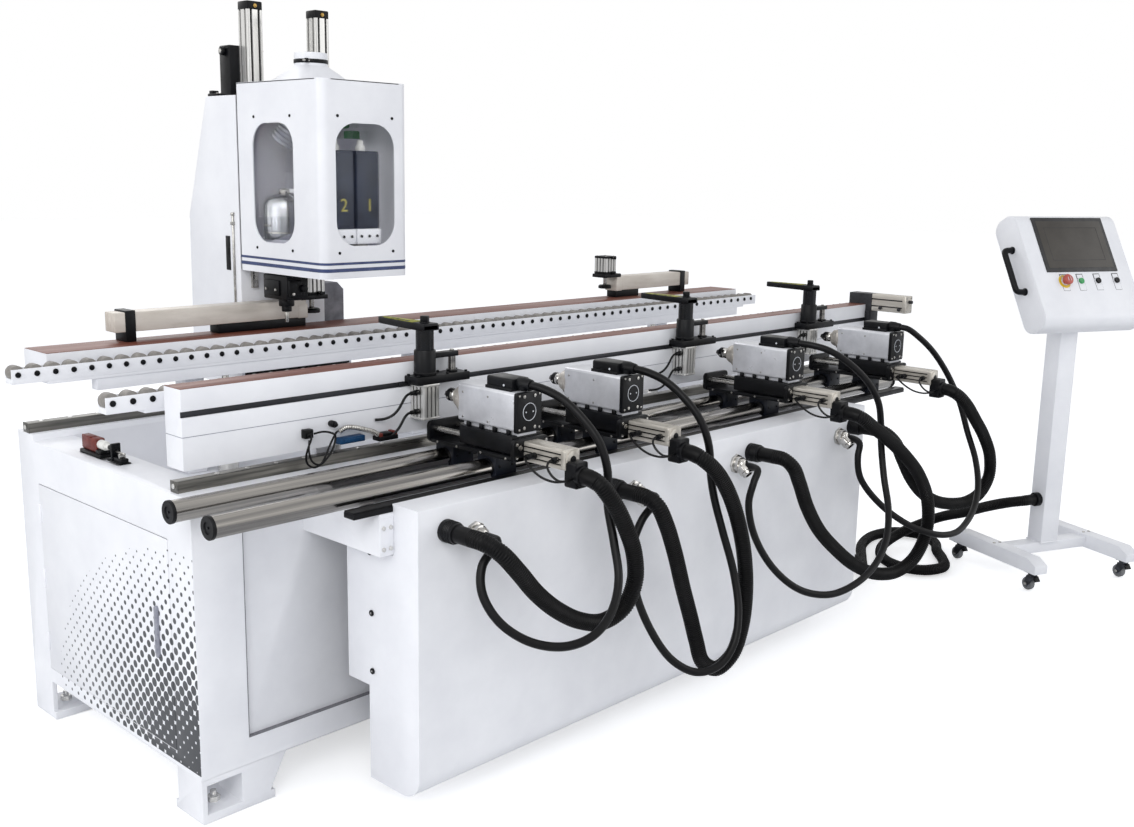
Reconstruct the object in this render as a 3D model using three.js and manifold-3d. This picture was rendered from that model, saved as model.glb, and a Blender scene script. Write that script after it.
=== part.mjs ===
// A door lock drilling machine: a welded base with two beams and roller rails, four drilling units that slide
// on a pair of guide bars, a column with the drilling head behind, and a control console on casters.
// Millimetres, +Z up, X along the machine, the operator's side towards -Y. While the pieces are being made,
// X = 0 is the base's left end, Y = 0 its front face and Z = 0 the floor.
import * as THREE from 'three';
import { mergeVertices } from 'three/addons/utils/BufferGeometryUtils.js';
import Module from 'manifold-3d';

const wasm = await Module();
wasm.setup();

// Clearances that many pieces share
const clearance = 0.3;
const runningGap = 0.45;
const overrun = 5;
const sheet = 5;
const weld = 2;

// Driving sizes of the base
const baseLength = 2750;
const baseDepth = 906;
const baseBottom = 110;
const deckHeight = 787;
const ledgeHeight = 805;
const leftStrip = 112;
const frontStrip = 130;
const rearStrip = 94;
const wellFloor = 640;

// Driving sizes of the table
const tableHeight = 1030;
const laminate = 12;
const frontBeamStart = 14;
const frontBeamEnd = 2953;
const frontBeamFront = 46;
const frontBeamDepth = 74;
const frontBeamHeight = 188;
const rearBeamStart = 18;
const rearBeamEnd = 3045;
const rearBeamFront = 736;
const rearBeamDepth = 138;
const rearBeamHeight = 67;

// Driving sizes of the guide bars and the apron
const barDiameter = 50;
const barHeight = 785;
const rearBarY = -46;
const frontBarY = -207;
const barStart = -78;
const barEnd = 2714;
const apronStart = 345;
const apronEnd = 2262;
const apronFront = -368;
const apronNeck = -280;
const apronSheet = 3;
const apronTop = 770;
const apronBottom = 70;

// Driving places of the drilling units and clamps along the machine
const unitPlaces = [737, 1126, 1912, 2546];
const clampPlaces = [690, 1775, 2500];

// Driving sizes of the column and the head
const columnLeft = 690;
const columnWidth = 305;
const columnFront = 886;
const columnTop = 1723;
const headFront = 455;
const headBottom = 1207;
const headHeight = 550;

// Driving sizes and place of the console
const consoleX = 3365;
const consoleY = -571;
const consoleTurn = -24;
const consoleHeight = 1385;
const consoleWidth = 480;

function solid(geometry) {
  const bare = geometry.clone();
  bare.deleteAttribute('normal');
  bare.deleteAttribute('uv');
  const shared = mergeVertices(bare);
  const vertProperties = new Float32Array(shared.attributes.position.array);
  const triVerts = new Uint32Array(shared.index.array);
  return new wasm.Manifold(new wasm.Mesh({ numProp: 3, vertProperties, triVerts }));
}

function surface(body) {
  const { vertProperties, triVerts, numProp } = body.getMesh();
  const geometry = new THREE.BufferGeometry();
  const interleaved = new THREE.InterleavedBuffer(vertProperties, numProp);
  const position = new THREE.Float32BufferAttribute(new Float32Array(interleaved.count * 3), 3);
  for (let i = 0; i < interleaved.count; i += 1) {
    position.setXYZ(i, ...[0, 1, 2].map((k) => vertProperties[i * numProp + k]));
  }
  geometry.setAttribute('position', position);
  geometry.setIndex(new THREE.BufferAttribute(new Uint32Array(triVerts), 1));
  geometry.computeVertexNormals();
  return geometry;
}

const join = (...bodies) => bodies.flat().reduce((whole, body) => whole.add(body));
const cut = (body, ...tools) => tools.flat().reduce((whole, tool) => whole.subtract(tool), body);

// A block between two corners
function block([x0, x1], [y0, y1], [z0, z1]) {
  const geometry = new THREE.BoxGeometry(x1 - x0, y1 - y0, z1 - z0);
  return solid(geometry.translate((x0 + x1) / 2, (y0 + y1) / 2, (z0 + z1) / 2));
}

// The range of a width about its middle
const about = (middle, width) => [middle - width / 2, middle + width / 2];

// A round bar along an axis, from one place to another, about a centre in the other two directions
function round(diameter, axis, [start, end], [a, b], sides = 16) {
  const geometry = new THREE.CylinderGeometry(diameter / 2, diameter / 2, end - start, sides);
  const middle = (start + end) / 2;
  if (axis === 'x') return solid(geometry.rotateZ(-Math.PI / 2).translate(middle, a, b));
  if (axis === 'y') return solid(geometry.translate(a, middle, b));
  return solid(geometry.rotateX(Math.PI / 2).translate(a, b, middle));
}

// An outline pushed along an axis: (y, z) along x, (x, z) along y, (x, y) along z
function prism(shape, axis, [start, end], curveSegments = 5) {
  const depth = end - start;
  const geometry = new THREE.ExtrudeGeometry(shape, { depth, bevelEnabled: false, curveSegments });
  const basis = new THREE.Matrix4();
  const [ex, ey, ez] = [new THREE.Vector3(1, 0, 0), new THREE.Vector3(0, 1, 0), new THREE.Vector3(0, 0, 1)];
  if (axis === 'x') basis.makeBasis(ey, ez, ex).setPosition(start, 0, 0);
  if (axis === 'y') basis.makeBasis(ex, ez, ey.negate()).setPosition(0, end, 0);
  if (axis === 'z') basis.makeBasis(ex, ey, ez).setPosition(0, 0, start);
  return solid(geometry.applyMatrix4(basis));
}

const outline = (points) => new THREE.Shape(points.map(([a, b]) => new THREE.Vector2(a, b)));

// A rectangle with round corners about a middle
function roundedOutline([a, b], width, height, radius) {
  const shape = new THREE.Shape();
  const [w, h] = [width / 2 - radius, height / 2 - radius];
  shape.absarc(a + w, b + h, radius, 0, Math.PI / 2);
  shape.absarc(a - w, b + h, radius, Math.PI / 2, Math.PI);
  shape.absarc(a - w, b - h, radius, Math.PI, 1.5 * Math.PI);
  shape.absarc(a + w, b - h, radius, 1.5 * Math.PI, 2 * Math.PI);
  return shape;
}

const machine = new THREE.Group();
const unitNumbers = [1, 2, 3, 4];
const cordNames = [
  ...unitNumbers.map((n) => `unit_conduit_${n}`),
  ...unitNumbers.map((n) => `motor_cable_${n}`),
  'console_conduit',
];

function place(name, body, finish, parent = machine) {
  const [color, roughness, metalness] = finish;
  const geometry = body.isBufferGeometry ? body : surface(body);
  const mesh = new THREE.Mesh(geometry, new THREE.MeshStandardMaterial({ color, roughness, metalness }));
  mesh.name = name;
  parent.add(mesh);
  return mesh;
}

const whitePaint = [0xf1f1f4, 0.4, 0.1];
const blackPaint = [0x1c1d20, 0.5, 0.3];
const chromed = [0xc8c5bf, 0.15, 1];
const bareAluminium = [0xb9bbbd, 0.4, 0.9];
const beigeAnodised = [0xd8d0c6, 0.5, 0.1];
const blackPlastic = [0x17181a, 0.6, 0];
const greyRubber = [0x8e8e8c, 0.7, 0];
const clearSheet = [0xdfe6ea, 0.1, 0];
const stopRed = [0xb5402c, 0.5, 0];

// The base: a sheet-metal cabinet with a recessed front, an open well in its deck and a door in its left end.
// Its legs and bar brackets are welded to it, and its rails, lift cylinders and gland are bolted down on it.
const recessSide = 129;
const recessBottom = 178;
const recessTop = 740;
const recessDepth = 15;
const doorFront = 109;
const doorRear = 796;
const doorBottom = 150;
const doorTop = 674;
const doorGap = 0.8;
const wellX = [leftStrip, baseLength - leftStrip];
const wellY = [frontStrip, baseDepth - rearStrip];
const widened = ([low, high], by) => [low - by, high + by];

function cabinet() {
  const body = join(
    block([0, baseLength], [0, baseDepth], [baseBottom, deckHeight]),
    block([0, baseLength], [baseDepth - rearStrip, baseDepth], [deckHeight - sheet, ledgeHeight]),
  );
  const tub = block(widened(wellX, sheet), widened(wellY, sheet), [wellFloor - sheet, deckHeight]);
  const inside = block(
    [sheet, baseLength - sheet],
    [sheet + recessDepth, baseDepth - sheet],
    [baseBottom + sheet, deckHeight - sheet],
  );
  const recess = block(
    [recessSide, baseLength - recessSide],
    [-overrun, recessDepth],
    [recessBottom, recessTop],
  );
  const doorway = block([-overrun, sheet + overrun], [doorFront, doorRear], [doorBottom, doorTop]);
  const opening = block(wellX, wellY, [wellFloor, ledgeHeight + overrun]);
  return cut(body, inside.subtract(tub), recess, doorway, opening);
}

// The door hangs on its rear edge and carries the latch near its front edge
const doorSheet = 3;
const latchY = 172;
const latchWidth = 14;
const latchBottom = 368;
const latchTop = 497;
const latchProud = 7;
place('cabinet_door', join(
  block([0, doorSheet], widened([doorFront, doorRear], -doorGap), widened([doorBottom, doorTop], -doorGap)),
  block([-latchProud, doorSheet], about(latchY, latchWidth), [latchBottom, latchTop]),
), whitePaint);

// Legs: a foot plate, a web with a sloping gusset, and a box opening where the floor bolt stands
const footLength = 196;
const footDepth = 125;
const footThickness = 22;
const legTopLength = 232;
const legDepth = 112;
const legOpening = 92;
const legWall = 14;
const boltDiameter = 16;
const nutHeight = 13;

function leg(mirrorX, mirrorY) {
  const web = prism(outline([
    [0, footThickness - weld], [footLength - legWall, footThickness - weld],
    [legTopLength, baseBottom + weld], [0, baseBottom + weld],
  ]), 'y', [0, legDepth]);
  const opening = block(
    [legWall, legWall + legOpening],
    [-overrun, legDepth + overrun],
    [footThickness, baseBottom - legWall],
  );
  const boltPlace = [legWall + legOpening / 2, legDepth / 2];
  const bolt = join(
    round(boltDiameter, 'z', [footThickness - weld, footThickness + nutHeight * 2], boltPlace, 8),
    round(boltDiameter * 2, 'z', [footThickness - weld, footThickness + nutHeight], boltPlace, 6),
  );
  const foot = block([0, footLength], [0, footDepth], [0, footThickness]);
  const whole = join(cut(join(foot, web), opening), bolt);
  const turned = whole.scale([mirrorX ? -1 : 1, mirrorY ? -1 : 1, 1]);
  return turned.translate([mirrorX ? baseLength : 0, mirrorY ? baseDepth : 0, 0]);
}
const legs = () => join([false, true].flatMap((x) => [false, true].map((y) => leg(x, y))));

// Linear rails: the rear one carries the column, the front one lies under the front beam
const railWidth = 32;
const railHeight = 27;
const rearRailY = 846;
const frontRailY = 85;
const frontRailInset = 12;
const linearRails = () => join(
  block([0, baseLength], about(rearRailY, railWidth), [ledgeHeight - weld, ledgeHeight + railHeight]),
  block([frontRailInset, baseLength - frontRailInset], about(frontRailY, railWidth),
    [deckHeight - weld, deckHeight + railHeight]),
);

// Guide bars with a black cap on each end
const barSides = 16;
const capLength = 8;
const capProud = 3;
const barCap = (start, y) => round(barDiameter + capProud, 'x', [start, start + capLength], [y, barHeight]);
const guideBar = (y) => join(
  round(barDiameter, 'x', [barStart + capLength - weld, barEnd - capLength + weld], [y, barHeight], barSides),
  barCap(barStart, y),
  barCap(barEnd - capLength, y),
);
place('guide_bar_front', guideBar(frontBarY), chromed);
place('guide_bar_rear', guideBar(rearBarY), chromed);

// Brackets that stand out of the base's front, carry both bars and the cable channel, and hold the apron
const bracketWidth = 39.7;
const bracketReach = 286;
const bracketBottom = 655;
const bracketTop = 745;
const padWidth = 40;
const channelWidth = 38;
const channelHeight = 17;
const channelBottom = 755;
const channelY = [apronNeck - apronSheet, apronNeck - apronSheet + channelWidth];
const barUnderside = barHeight - barDiameter / 2;
const innerBracketShares = [0.333, 0.667];
const bracketPlaces = [
  apronStart - clearance - bracketWidth,
  ...innerBracketShares.map((share) => apronStart + (apronEnd - apronStart) * share),
  apronEnd + clearance,
];

function barBracket(start) {
  const along = [start, start + bracketWidth];
  return join(
    block(along, [-bracketReach, recessDepth + weld], [bracketBottom, bracketTop]),
    block(along, about(rearBarY, padWidth), [bracketTop - overrun, barUnderside - clearance]),
    block(along, about(frontBarY, padWidth), [bracketTop - overrun, barUnderside - clearance]),
    block(along, channelY, [bracketTop - overrun, channelBottom - clearance]),
  );
}

// Black hose collars and chromed cable unions, four of each, on the apron's front
const collarPlaces = [[427, 714], [990, 714], [1610, 714], [2180, 714]];
const unionPlaces = [[515, 690], [1080, 690], [1540, 690], [2105, 690]];
const collarDiameter = 54;
const collarLength = 45;
const unionFlange = 46;
const unionFlangeLength = 9;
const unionBody = 32;
const unionLength = 38;
const hoseFittings = () => [
  ...collarPlaces.map((at) => round(collarDiameter, 'y',
    [apronFront - collarLength, apronFront + weld], at, 12)),
  ...unionPlaces.flatMap((at) => [
    round(unionFlange, 'y', [apronFront - unionFlangeLength, apronFront + weld], at, 8),
    round(unionBody, 'y', [apronFront - unionLength, apronFront], at, 8),
  ]),
];

// The apron: a folded sheet with stepped end plates and a rounded lower edge, open at the back. The cable
// channel runs along its upper edge, behind the front bar.
const apronWaist = -105;
const apronHeel = -186;
const apronShoulder = 650;
const apronStep = 306;
const apronRadius = 60;
const channelStart = 236;
const channelEnd = 2690;
const addApronCorner = (shape, radius) => shape.absarc(
  apronFront + apronRadius, apronBottom + apronRadius, radius, Math.PI, 1.5 * Math.PI,
);

function apronProfile() {
  const shape = new THREE.Shape();
  shape.moveTo(apronFront, apronTop);
  shape.lineTo(apronFront, apronBottom + apronRadius);
  addApronCorner(shape, apronRadius);
  shape.lineTo(apronHeel, apronBottom);
  shape.lineTo(apronHeel, apronStep);
  shape.lineTo(apronWaist, apronStep);
  shape.lineTo(apronWaist, apronShoulder);
  shape.lineTo(apronNeck, apronShoulder);
  shape.lineTo(apronNeck, apronTop);
  return shape;
}

function apronHollow() {
  const shape = new THREE.Shape();
  shape.moveTo(apronFront + apronSheet, apronTop - apronSheet);
  shape.lineTo(apronFront + apronSheet, apronBottom + apronRadius);
  addApronCorner(shape, apronRadius - apronSheet);
  shape.lineTo(apronWaist + overrun, apronBottom + apronSheet);
  shape.lineTo(apronWaist + overrun, apronTop - apronSheet);
  return shape;
}
place('front_apron', join(
  cut(
    prism(apronProfile(), 'x', [apronStart, apronEnd]),
    prism(apronHollow(), 'x', widened([apronStart, apronEnd], -apronSheet)),
  ),
  block([channelStart, channelEnd], channelY, [channelBottom, channelBottom + channelHeight]),
  hoseFittings(),
), whitePaint);

// Beams: folded channels on posts, open below and closed at the ends, each with a laminate board on top
const beamWall = 8;
const beamSlot = 20;
const boardJoint = 1;
const grooveHeight = 14;
const grooveDepth = 5;
const grooveBottom = 964;
const postWidth = 60;
const postDepth = 22;
const postPlaces = [440, 1265, 2550];
const rearPostDepth = 56;

function beam([x0, x1], [y0, y1], height) {
  const board = tableHeight - laminate;
  const bottom = tableHeight - height;
  const inside = block([x0 + beamWall, x1 - beamWall], [y0 + beamWall, y1 - beamWall],
    [bottom + beamWall, board - beamWall]);
  const slot = block([x0 + beamWall, x1 - beamWall], about((y0 + y1) / 2, beamSlot),
    [bottom - overrun, bottom + beamWall * 2]);
  const joint = cut(
    block([x0 - overrun, x1 + overrun], [y0 - overrun, y1 + overrun], [board, board + boardJoint]),
    block([x0 + boardJoint, x1 - boardJoint], [y0 + boardJoint, y1 - boardJoint],
      [board - overrun, board + overrun]),
  );
  return cut(block([x0, x1], [y0, y1], [bottom, tableHeight]), inside, slot, joint);
}
const frontBeamY = [frontBeamFront, frontBeamFront + frontBeamDepth];
const rearBeamY = [rearBeamFront, rearBeamFront + rearBeamDepth];
const beamPosts = (y, depth, foot, top) => postPlaces.map((x) => block(about(x, postWidth), [y, y + depth],
  [foot + clearance, top + weld]));

// The stop cylinder at the front beam's right end reaches forwards from its block
const stopBlockLength = 52;
const stopBlockBottom = 946;
const stopBottom = 1006;
const stopTop = 1073;
const stopStart = -125;
const stopMount = 20;
const stopX = [frontBeamEnd - weld, frontBeamEnd + stopBlockLength];
const stopCylinder = () => [
  block(stopX, [stopMount, frontBeamY[1]], [stopBlockBottom, stopTop - weld]),
  block([frontBeamEnd + weld, frontBeamEnd + stopBlockLength], [stopStart, stopMount + weld],
    [stopBottom, stopTop]),
];

const groove = block(
  [frontBeamStart - overrun, frontBeamEnd + overrun],
  [frontBeamFront - overrun, frontBeamFront + grooveDepth],
  [grooveBottom, grooveBottom + grooveHeight],
);
place('front_beam', join(
  cut(beam([frontBeamStart, frontBeamEnd], frontBeamY, frontBeamHeight), groove),
  beamPosts(frontRailY + railWidth / 2 + overrun, postDepth, deckHeight, tableHeight - frontBeamHeight),
  stopCylinder(),
), whitePaint);
place('rear_beam', join(
  beam([rearBeamStart, rearBeamEnd], rearBeamY, rearBeamHeight),
  beamPosts(rearBeamFront + overrun, rearPostDepth, wellFloor, tableHeight - rearBeamHeight),
), whitePaint);

// Roller rails: two channels of rollers on box beams that four lift rods raise above the table
const railStart = -92;
const railEnd = 3128;
const rearRollerY = 710;
const frontRollerY = 204;
const rollerRailWidth = 40;
const rollerRailBottom = 965;
const rollerRailTop = 1003;
const rollerWall = 4;
const rollerHeight = 993;
const rollerDiameter = 32;
const rollerCount = 40;
const firstRollerShare = 0.25;
const liftBeamStart = 130;
const liftBeamEnd = 3000;
const liftBeamHeight = 40;
const liftPlaces = [520, 2450];
const liftStroke = 35;
const liftRodDiameter = 20;
const liftRodBottom = 800;
const liftBodyDiameter = 60;
const liftBodyTop = 860;
const rollerPitch = (railEnd - railStart) / rollerCount;
const rollerBed = rollerHeight - (rollerDiameter / 2) * Math.cos(Math.PI / 6) + weld / 2;

function rollerRail(y) {
  const across = about(y, rollerRailWidth);
  const channel = cut(
    block([railStart, railEnd], across, [rollerRailBottom, rollerRailTop]),
    block([railStart - overrun, railEnd + overrun], widened(across, -rollerWall),
      [rollerBed, rollerRailTop + overrun]),
  );
  const rollerAt = (i) => [railStart + rollerPitch * (i + firstRollerShare), rollerHeight];
  const rollers = Array.from({ length: rollerCount }, (_, i) => round(rollerDiameter, 'y',
    widened(across, -rollerWall - runningGap), rollerAt(i), 6));
  const boxBeam = block([liftBeamStart, liftBeamEnd], widened(across, -rollerWall),
    [rollerRailBottom - liftBeamHeight, rollerRailBottom + weld]);
  const rods = liftPlaces.map((x) => round(liftRodDiameter, 'z',
    [liftRodBottom, rollerRailBottom - liftBeamHeight + weld], [x, y], 8));
  return join(channel, rollers, boxBeam, rods);
}
place('roller_rail_rear', rollerRail(rearRollerY), whitePaint);
place('roller_rail_front', rollerRail(frontRollerY), whitePaint);

// The lift cylinders that the rods run in stand on the well's floor
const liftBore = liftRodDiameter + 2 * runningGap;

function liftBody(x, y) {
  const body = round(liftBodyDiameter, 'z', [wellFloor - weld, liftBodyTop], [x, y], 12);
  return cut(body, round(liftBore, 'z', [liftRodBottom - liftStroke, liftBodyTop + overrun], [x, y], 8));
}

// The console conduit's gland on the recessed front, and the sensor block on the left deck strip
const glandX = 2500;
const glandZ = 240;
const glandLength = 30;
const sensorX = 55;
const sensorY = 510;
const sensorLength = 210;
const sensorWidth = 40;
const sensorBase = 10;
const sensorHeight = 46;
const sensorGapShare = 0.25;
const gland = () => round(collarDiameter, 'y',
  [recessDepth - glandLength, recessDepth + weld], [glandX, glandZ], 16);
const deckSensor = () => [
  block(about(sensorX, sensorWidth), about(sensorY, sensorLength),
    [deckHeight - weld, deckHeight + sensorBase]),
  block(about(sensorX, sensorWidth - sensorBase), [sensorY, sensorY + sensorLength / 2],
    [deckHeight, deckHeight + sensorHeight]),
  block(about(sensorX, sensorWidth / 2),
    [sensorY - sensorLength / 2, sensorY - sensorLength * sensorGapShare],
    [deckHeight, deckHeight + sensorHeight]),
];
place('base_cabinet', join(
  cabinet(),
  legs(),
  linearRails(),
  bracketPlaces.map(barBracket),
  liftPlaces.flatMap((x) => [liftBody(x, frontRollerY), liftBody(x, rearRollerY)]),
  gland(),
  deckSensor(),
), whitePaint);

// Front clamps: a cylinder and flange on the beam's face, a sleeve with a bracket and a guide post beside it,
// and a post with an arm that comes down
const clampBody = 56;
const clampBodyHeight = 92;
const clampBodyBottom = 880;
const flangeLeft = 46;
const flangeRight = 132;
const flangeHeight = 22;
const sleeveDiameter = 56;
const sleeveHeight = 66;
const clampStroke = 50;
const postDiameter = 46;
const postInSleeve = 6;
const armBottom = 1112;
const armThickness = 18;
const armReach = 185;
const armWidth = 50;
const armTipShare = 0.17;
const sidePostOffset = 92;
const sidePost = 20;
const postEdge = 3;
const postBracket = 14;
const postDrop = 10;
const clampY = frontBeamFront - clearance - clampBody / 2;
const flangeBottom = clampBodyBottom + clampBodyHeight;
const sleeveTop = flangeBottom + flangeHeight + sleeveHeight;
const postTop = sleeveTop - postDrop;

function clampCylinder(x) {
  const flangeY = [clampY - clampBody / 2, frontBeamFront - clearance];
  const bore = round(postDiameter + 2 * runningGap, 'z',
    [sleeveTop - postInSleeve - clampStroke - overrun / 2, sleeveTop + overrun], [x, clampY]);
  return cut(join(
    block(about(x, clampBody), flangeY, [clampBodyBottom, flangeBottom]),
    block([x - flangeLeft, x + flangeRight], flangeY, [flangeBottom, flangeBottom + flangeHeight]),
    round(sleeveDiameter, 'z', [flangeBottom + flangeHeight, sleeveTop], [x, clampY]),
    round(sidePost, 'z', [flangeBottom + flangeHeight - weld, postTop - weld],
      [x + sidePostOffset, clampY], 10),
    block([x, x + sidePostOffset + sidePost / 2 + postEdge], about(clampY, sidePost + 2 * postEdge),
      [postTop - postBracket, postTop]),
  ), bore);
}

function clampArm(x) {
  const arm = prism(outline([
    [x - armWidth / 2, clampY - armWidth / 2], [x + armWidth / 2, clampY - armWidth / 2],
    [x + armWidth / 2, clampY + armWidth], [x + armWidth * armTipShare, clampY + armReach],
    [x - armWidth * armTipShare, clampY + armReach], [x - armWidth / 2, clampY + armWidth],
  ]), 'z', [armBottom, armBottom + armThickness]);
  return join(
    round(postDiameter, 'z', [sleeveTop - postInSleeve, armBottom + overrun], [x, clampY]),
    round(armWidth / 2, 'z', [armBottom, armBottom + armThickness * 2], [x, clampY], 8),
    arm,
  );
}
clampPlaces.forEach((x, i) => {
  place(`clamp_cylinder_${i + 1}`, clampCylinder(x), bareAluminium);
  place(`clamp_arm_${i + 1}`, clampArm(x), blackPaint);
});

// Rear clamps: a bar on a black rail on the rear beam, and a small cylinder with a pressing foot at one end
const clampBarY = 830;
const clampBarDepth = 60;
const clampBarBottom = 1058;
const clampBarTop = 1113;
const clampRailEnd = 320;
const clampRailDepth = 48;
const clampPlateDepth = 66;
const clampHeadPlate = 12;
const clampHeadLength = 99;
const clampHeadOverlap = 20;
const footDiameter = 52;
const footRodDiameter = 16;
const footBottom = 1067;
const footPlate = 14;
const footRodTop = 1160;
const rearCylinder = 62;
const rearCylinderHeight = 70;
const rearClamps = [{ end: 866, length: 626, way: 1 }, { end: 2330, length: 460, way: -1 }];
const headPlateTop = clampBarTop + clampHeadPlate;
const footRodHole = footRodDiameter + 2 * runningGap;
const footPlace = ({ end, way }) => [end + way * (clampHeadLength / 2 - clampHeadOverlap / 2), clampBarY];
const inOrder = (a, b) => (a < b ? [a, b] : [b, a]);

function rearClamp(clamp) {
  const { end, length, way } = clamp;
  const start = end - way * length;
  const headX = inOrder(end - way * clampHeadOverlap, end + way * (clampHeadLength - clampHeadOverlap));
  const [footX, footY] = footPlace(clamp);
  const hole = round(footRodHole, 'z', [clampBarTop - overrun, footRodTop + overrun], [footX, footY], 12);
  const bar = join(
    block(inOrder(start, end), about(clampBarY, clampBarDepth), [clampBarBottom, clampBarTop]),
    block(inOrder(start + way * clampRailEnd, end), about(clampBarY, clampRailDepth),
      [tableHeight + clearance, clampBarBottom + weld]),
    block(inOrder(start + way * clampBarDepth / 2, start + way * clampBarDepth),
      about(clampBarY, clampPlateDepth), [tableHeight + clearance, clampBarTop + overrun]),
    block(headX, about(clampBarY, clampPlateDepth), [clampBarTop - weld, headPlateTop]),
  );
  const cylinder = block(about(footX, rearCylinder), about(footY, rearCylinder),
    [headPlateTop - weld, headPlateTop + rearCylinderHeight]);
  return cut(join(bar, cylinder), hole);
}

function rearFoot(clamp) {
  return join(
    round(footDiameter, 'z', [footBottom, footBottom + footPlate], footPlace(clamp), 16),
    round(footRodDiameter, 'z', [footBottom + footPlate - overrun, footRodTop - overrun],
      footPlace(clamp), 12),
  );
}
rearClamps.forEach((clamp, i) => {
  place(`rear_clamp_bar_${i + 1}`, rearClamp(clamp), beigeAnodised);
  place(`rear_clamp_foot_${i + 1}`, rearFoot(clamp), blackPaint);
});

// Drilling units: a carriage on both guide bars, a motor that slides on its rods, and a chuck
const saddleWidth = 70;
const saddleDepth = 68;
const saddleBottom = 764;
const slideBottom = 822;
const slidePlate = 12;
const slideRear = -4;
const slideFront = -330;
const slideEndWidth = 120;
const slideEndTop = 878;
const slideWidth = 104;
const slideRod = 16;
const slideRodOffset = 38;
const slideRodHeight = 857;
const airBodyWidth = 50;
const airBodyEnd = -469;
const airBodyTop = 872;
const elbowEnd = -500;
const elbowWidth = 44;
const elbowBottom = 782;
const elbowTop = 846;

function carriage(x) {
  const saddles = [rearBarY, frontBarY].map((y) => block(about(x, saddleWidth), about(y, saddleDepth),
    [saddleBottom, slideBottom + overrun]));
  const bores = [rearBarY, frontBarY].map((y) => round(barDiameter + 2 * runningGap, 'x',
    about(x, saddleWidth + 2 * overrun), [y, barHeight], barSides));
  const rods = [-slideRodOffset, slideRodOffset].map((offset) => round(slideRod, 'y',
    [slideFront + overrun, slideRear - overrun], [x + offset, slideRodHeight], 8));
  return join(
    cut(join(saddles), bores),
    block(about(x, slideWidth), [slideFront, slideRear], [slideBottom, slideBottom + slidePlate]),
    block(about(x, slideEndWidth), [slideRear - slidePlate, slideRear], [slideBottom, slideEndTop]),
    block(about(x, slideEndWidth), [slideFront, slideFront + slidePlate], [slideBottom, slideEndTop]),
    rods,
    block(about(x, airBodyWidth), [airBodyEnd, slideFront + overrun], [slideBottom, airBodyTop]),
    block(about(x, elbowWidth), [elbowEnd, airBodyEnd + overrun], [elbowBottom, elbowTop]),
  );
}

const motorWidth = 80;
const neckShare = 0.8;
const motorBottom = 892;
const motorTop = 990;
const motorRear = -75;
const motorPlate = 12;
const motorFront = -322;
const noseDiameter = 70;
const noseLength = 10;
const sliderBottom = 838;
const sliderTop = 884;
const sliderRear = -120;
const sliderFront = -314;
const sliderWidth = 100;
const terminalWidth = 60;
const terminalRear = -200;
const terminalFront = -290;
const terminalHeight = 30;
const spindleHeight = 944;
const chuckDiameter = 34;
const chuckTip = -12;
const tangShare = 0.33;
const jawShare = 0.2;

function motor(x) {
  const holes = [-slideRodOffset, slideRodOffset].map((offset) => round(slideRod + 2 * runningGap, 'y',
    [sliderFront - overrun, sliderRear + overrun], [x + offset, slideRodHeight], 8));
  return join(
    cut(block(about(x, sliderWidth), [sliderFront, sliderRear], [sliderBottom, sliderTop]), holes),
    block(about(x, motorWidth * neckShare), [sliderFront, sliderRear],
      [sliderTop - overrun, motorBottom + overrun]),
    block(about(x, motorWidth), [motorFront + motorPlate, motorRear], [motorBottom, motorTop]),
    block(about(x, motorWidth + overrun), [motorFront, motorFront + motorPlate],
      [motorBottom - overrun / 2, motorTop]),
    round(noseDiameter, 'y', [motorRear - overrun, motorRear + noseLength], [x, spindleHeight]),
    block(about(x, terminalWidth), [terminalFront, terminalRear],
      [motorTop - overrun, motorTop + terminalHeight]),
  );
}

function chuck(x) {
  const back = motorRear + noseLength + clearance;
  const profile = [
    [0, back], [chuckDiameter * tangShare, back], [chuckDiameter / 2, back + chuckDiameter * tangShare],
    [chuckDiameter / 2, chuckTip - chuckDiameter / 2], [chuckDiameter * jawShare, chuckTip], [0, chuckTip],
  ].map(([r, y]) => new THREE.Vector2(r, y));
  return solid(new THREE.LatheGeometry(profile, 12).translate(x, 0, spindleHeight));
}
unitPlaces.forEach((x, i) => {
  place(`carriage_${i + 1}`, carriage(x), blackPaint);
  place(`motor_${i + 1}`, motor(x), bareAluminium);
  place(`chuck_${i + 1}`, chuck(x), chromed);
});

// The column: a tapered sheet casing on a carriage that straddles the rear rail, with guides for the head
const columnWall = 6;
const columnBottom = 840;
const columnRear = 1186;
const columnKneeY = 1178;
const columnKnee = 1361;
const columnBrow = 1053;
const carriageProud = 50;
const carriageTop = 950;
const carriageFront = 815;
const lipDrop = 20;
const lipWidth = 12;
const guideWidth = 20;
const guideInset = 45;
const guideDepth = 10;
const guideBottom = 1150;
const guideTop = 1700;
const columnRight = columnLeft + columnWidth;

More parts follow.
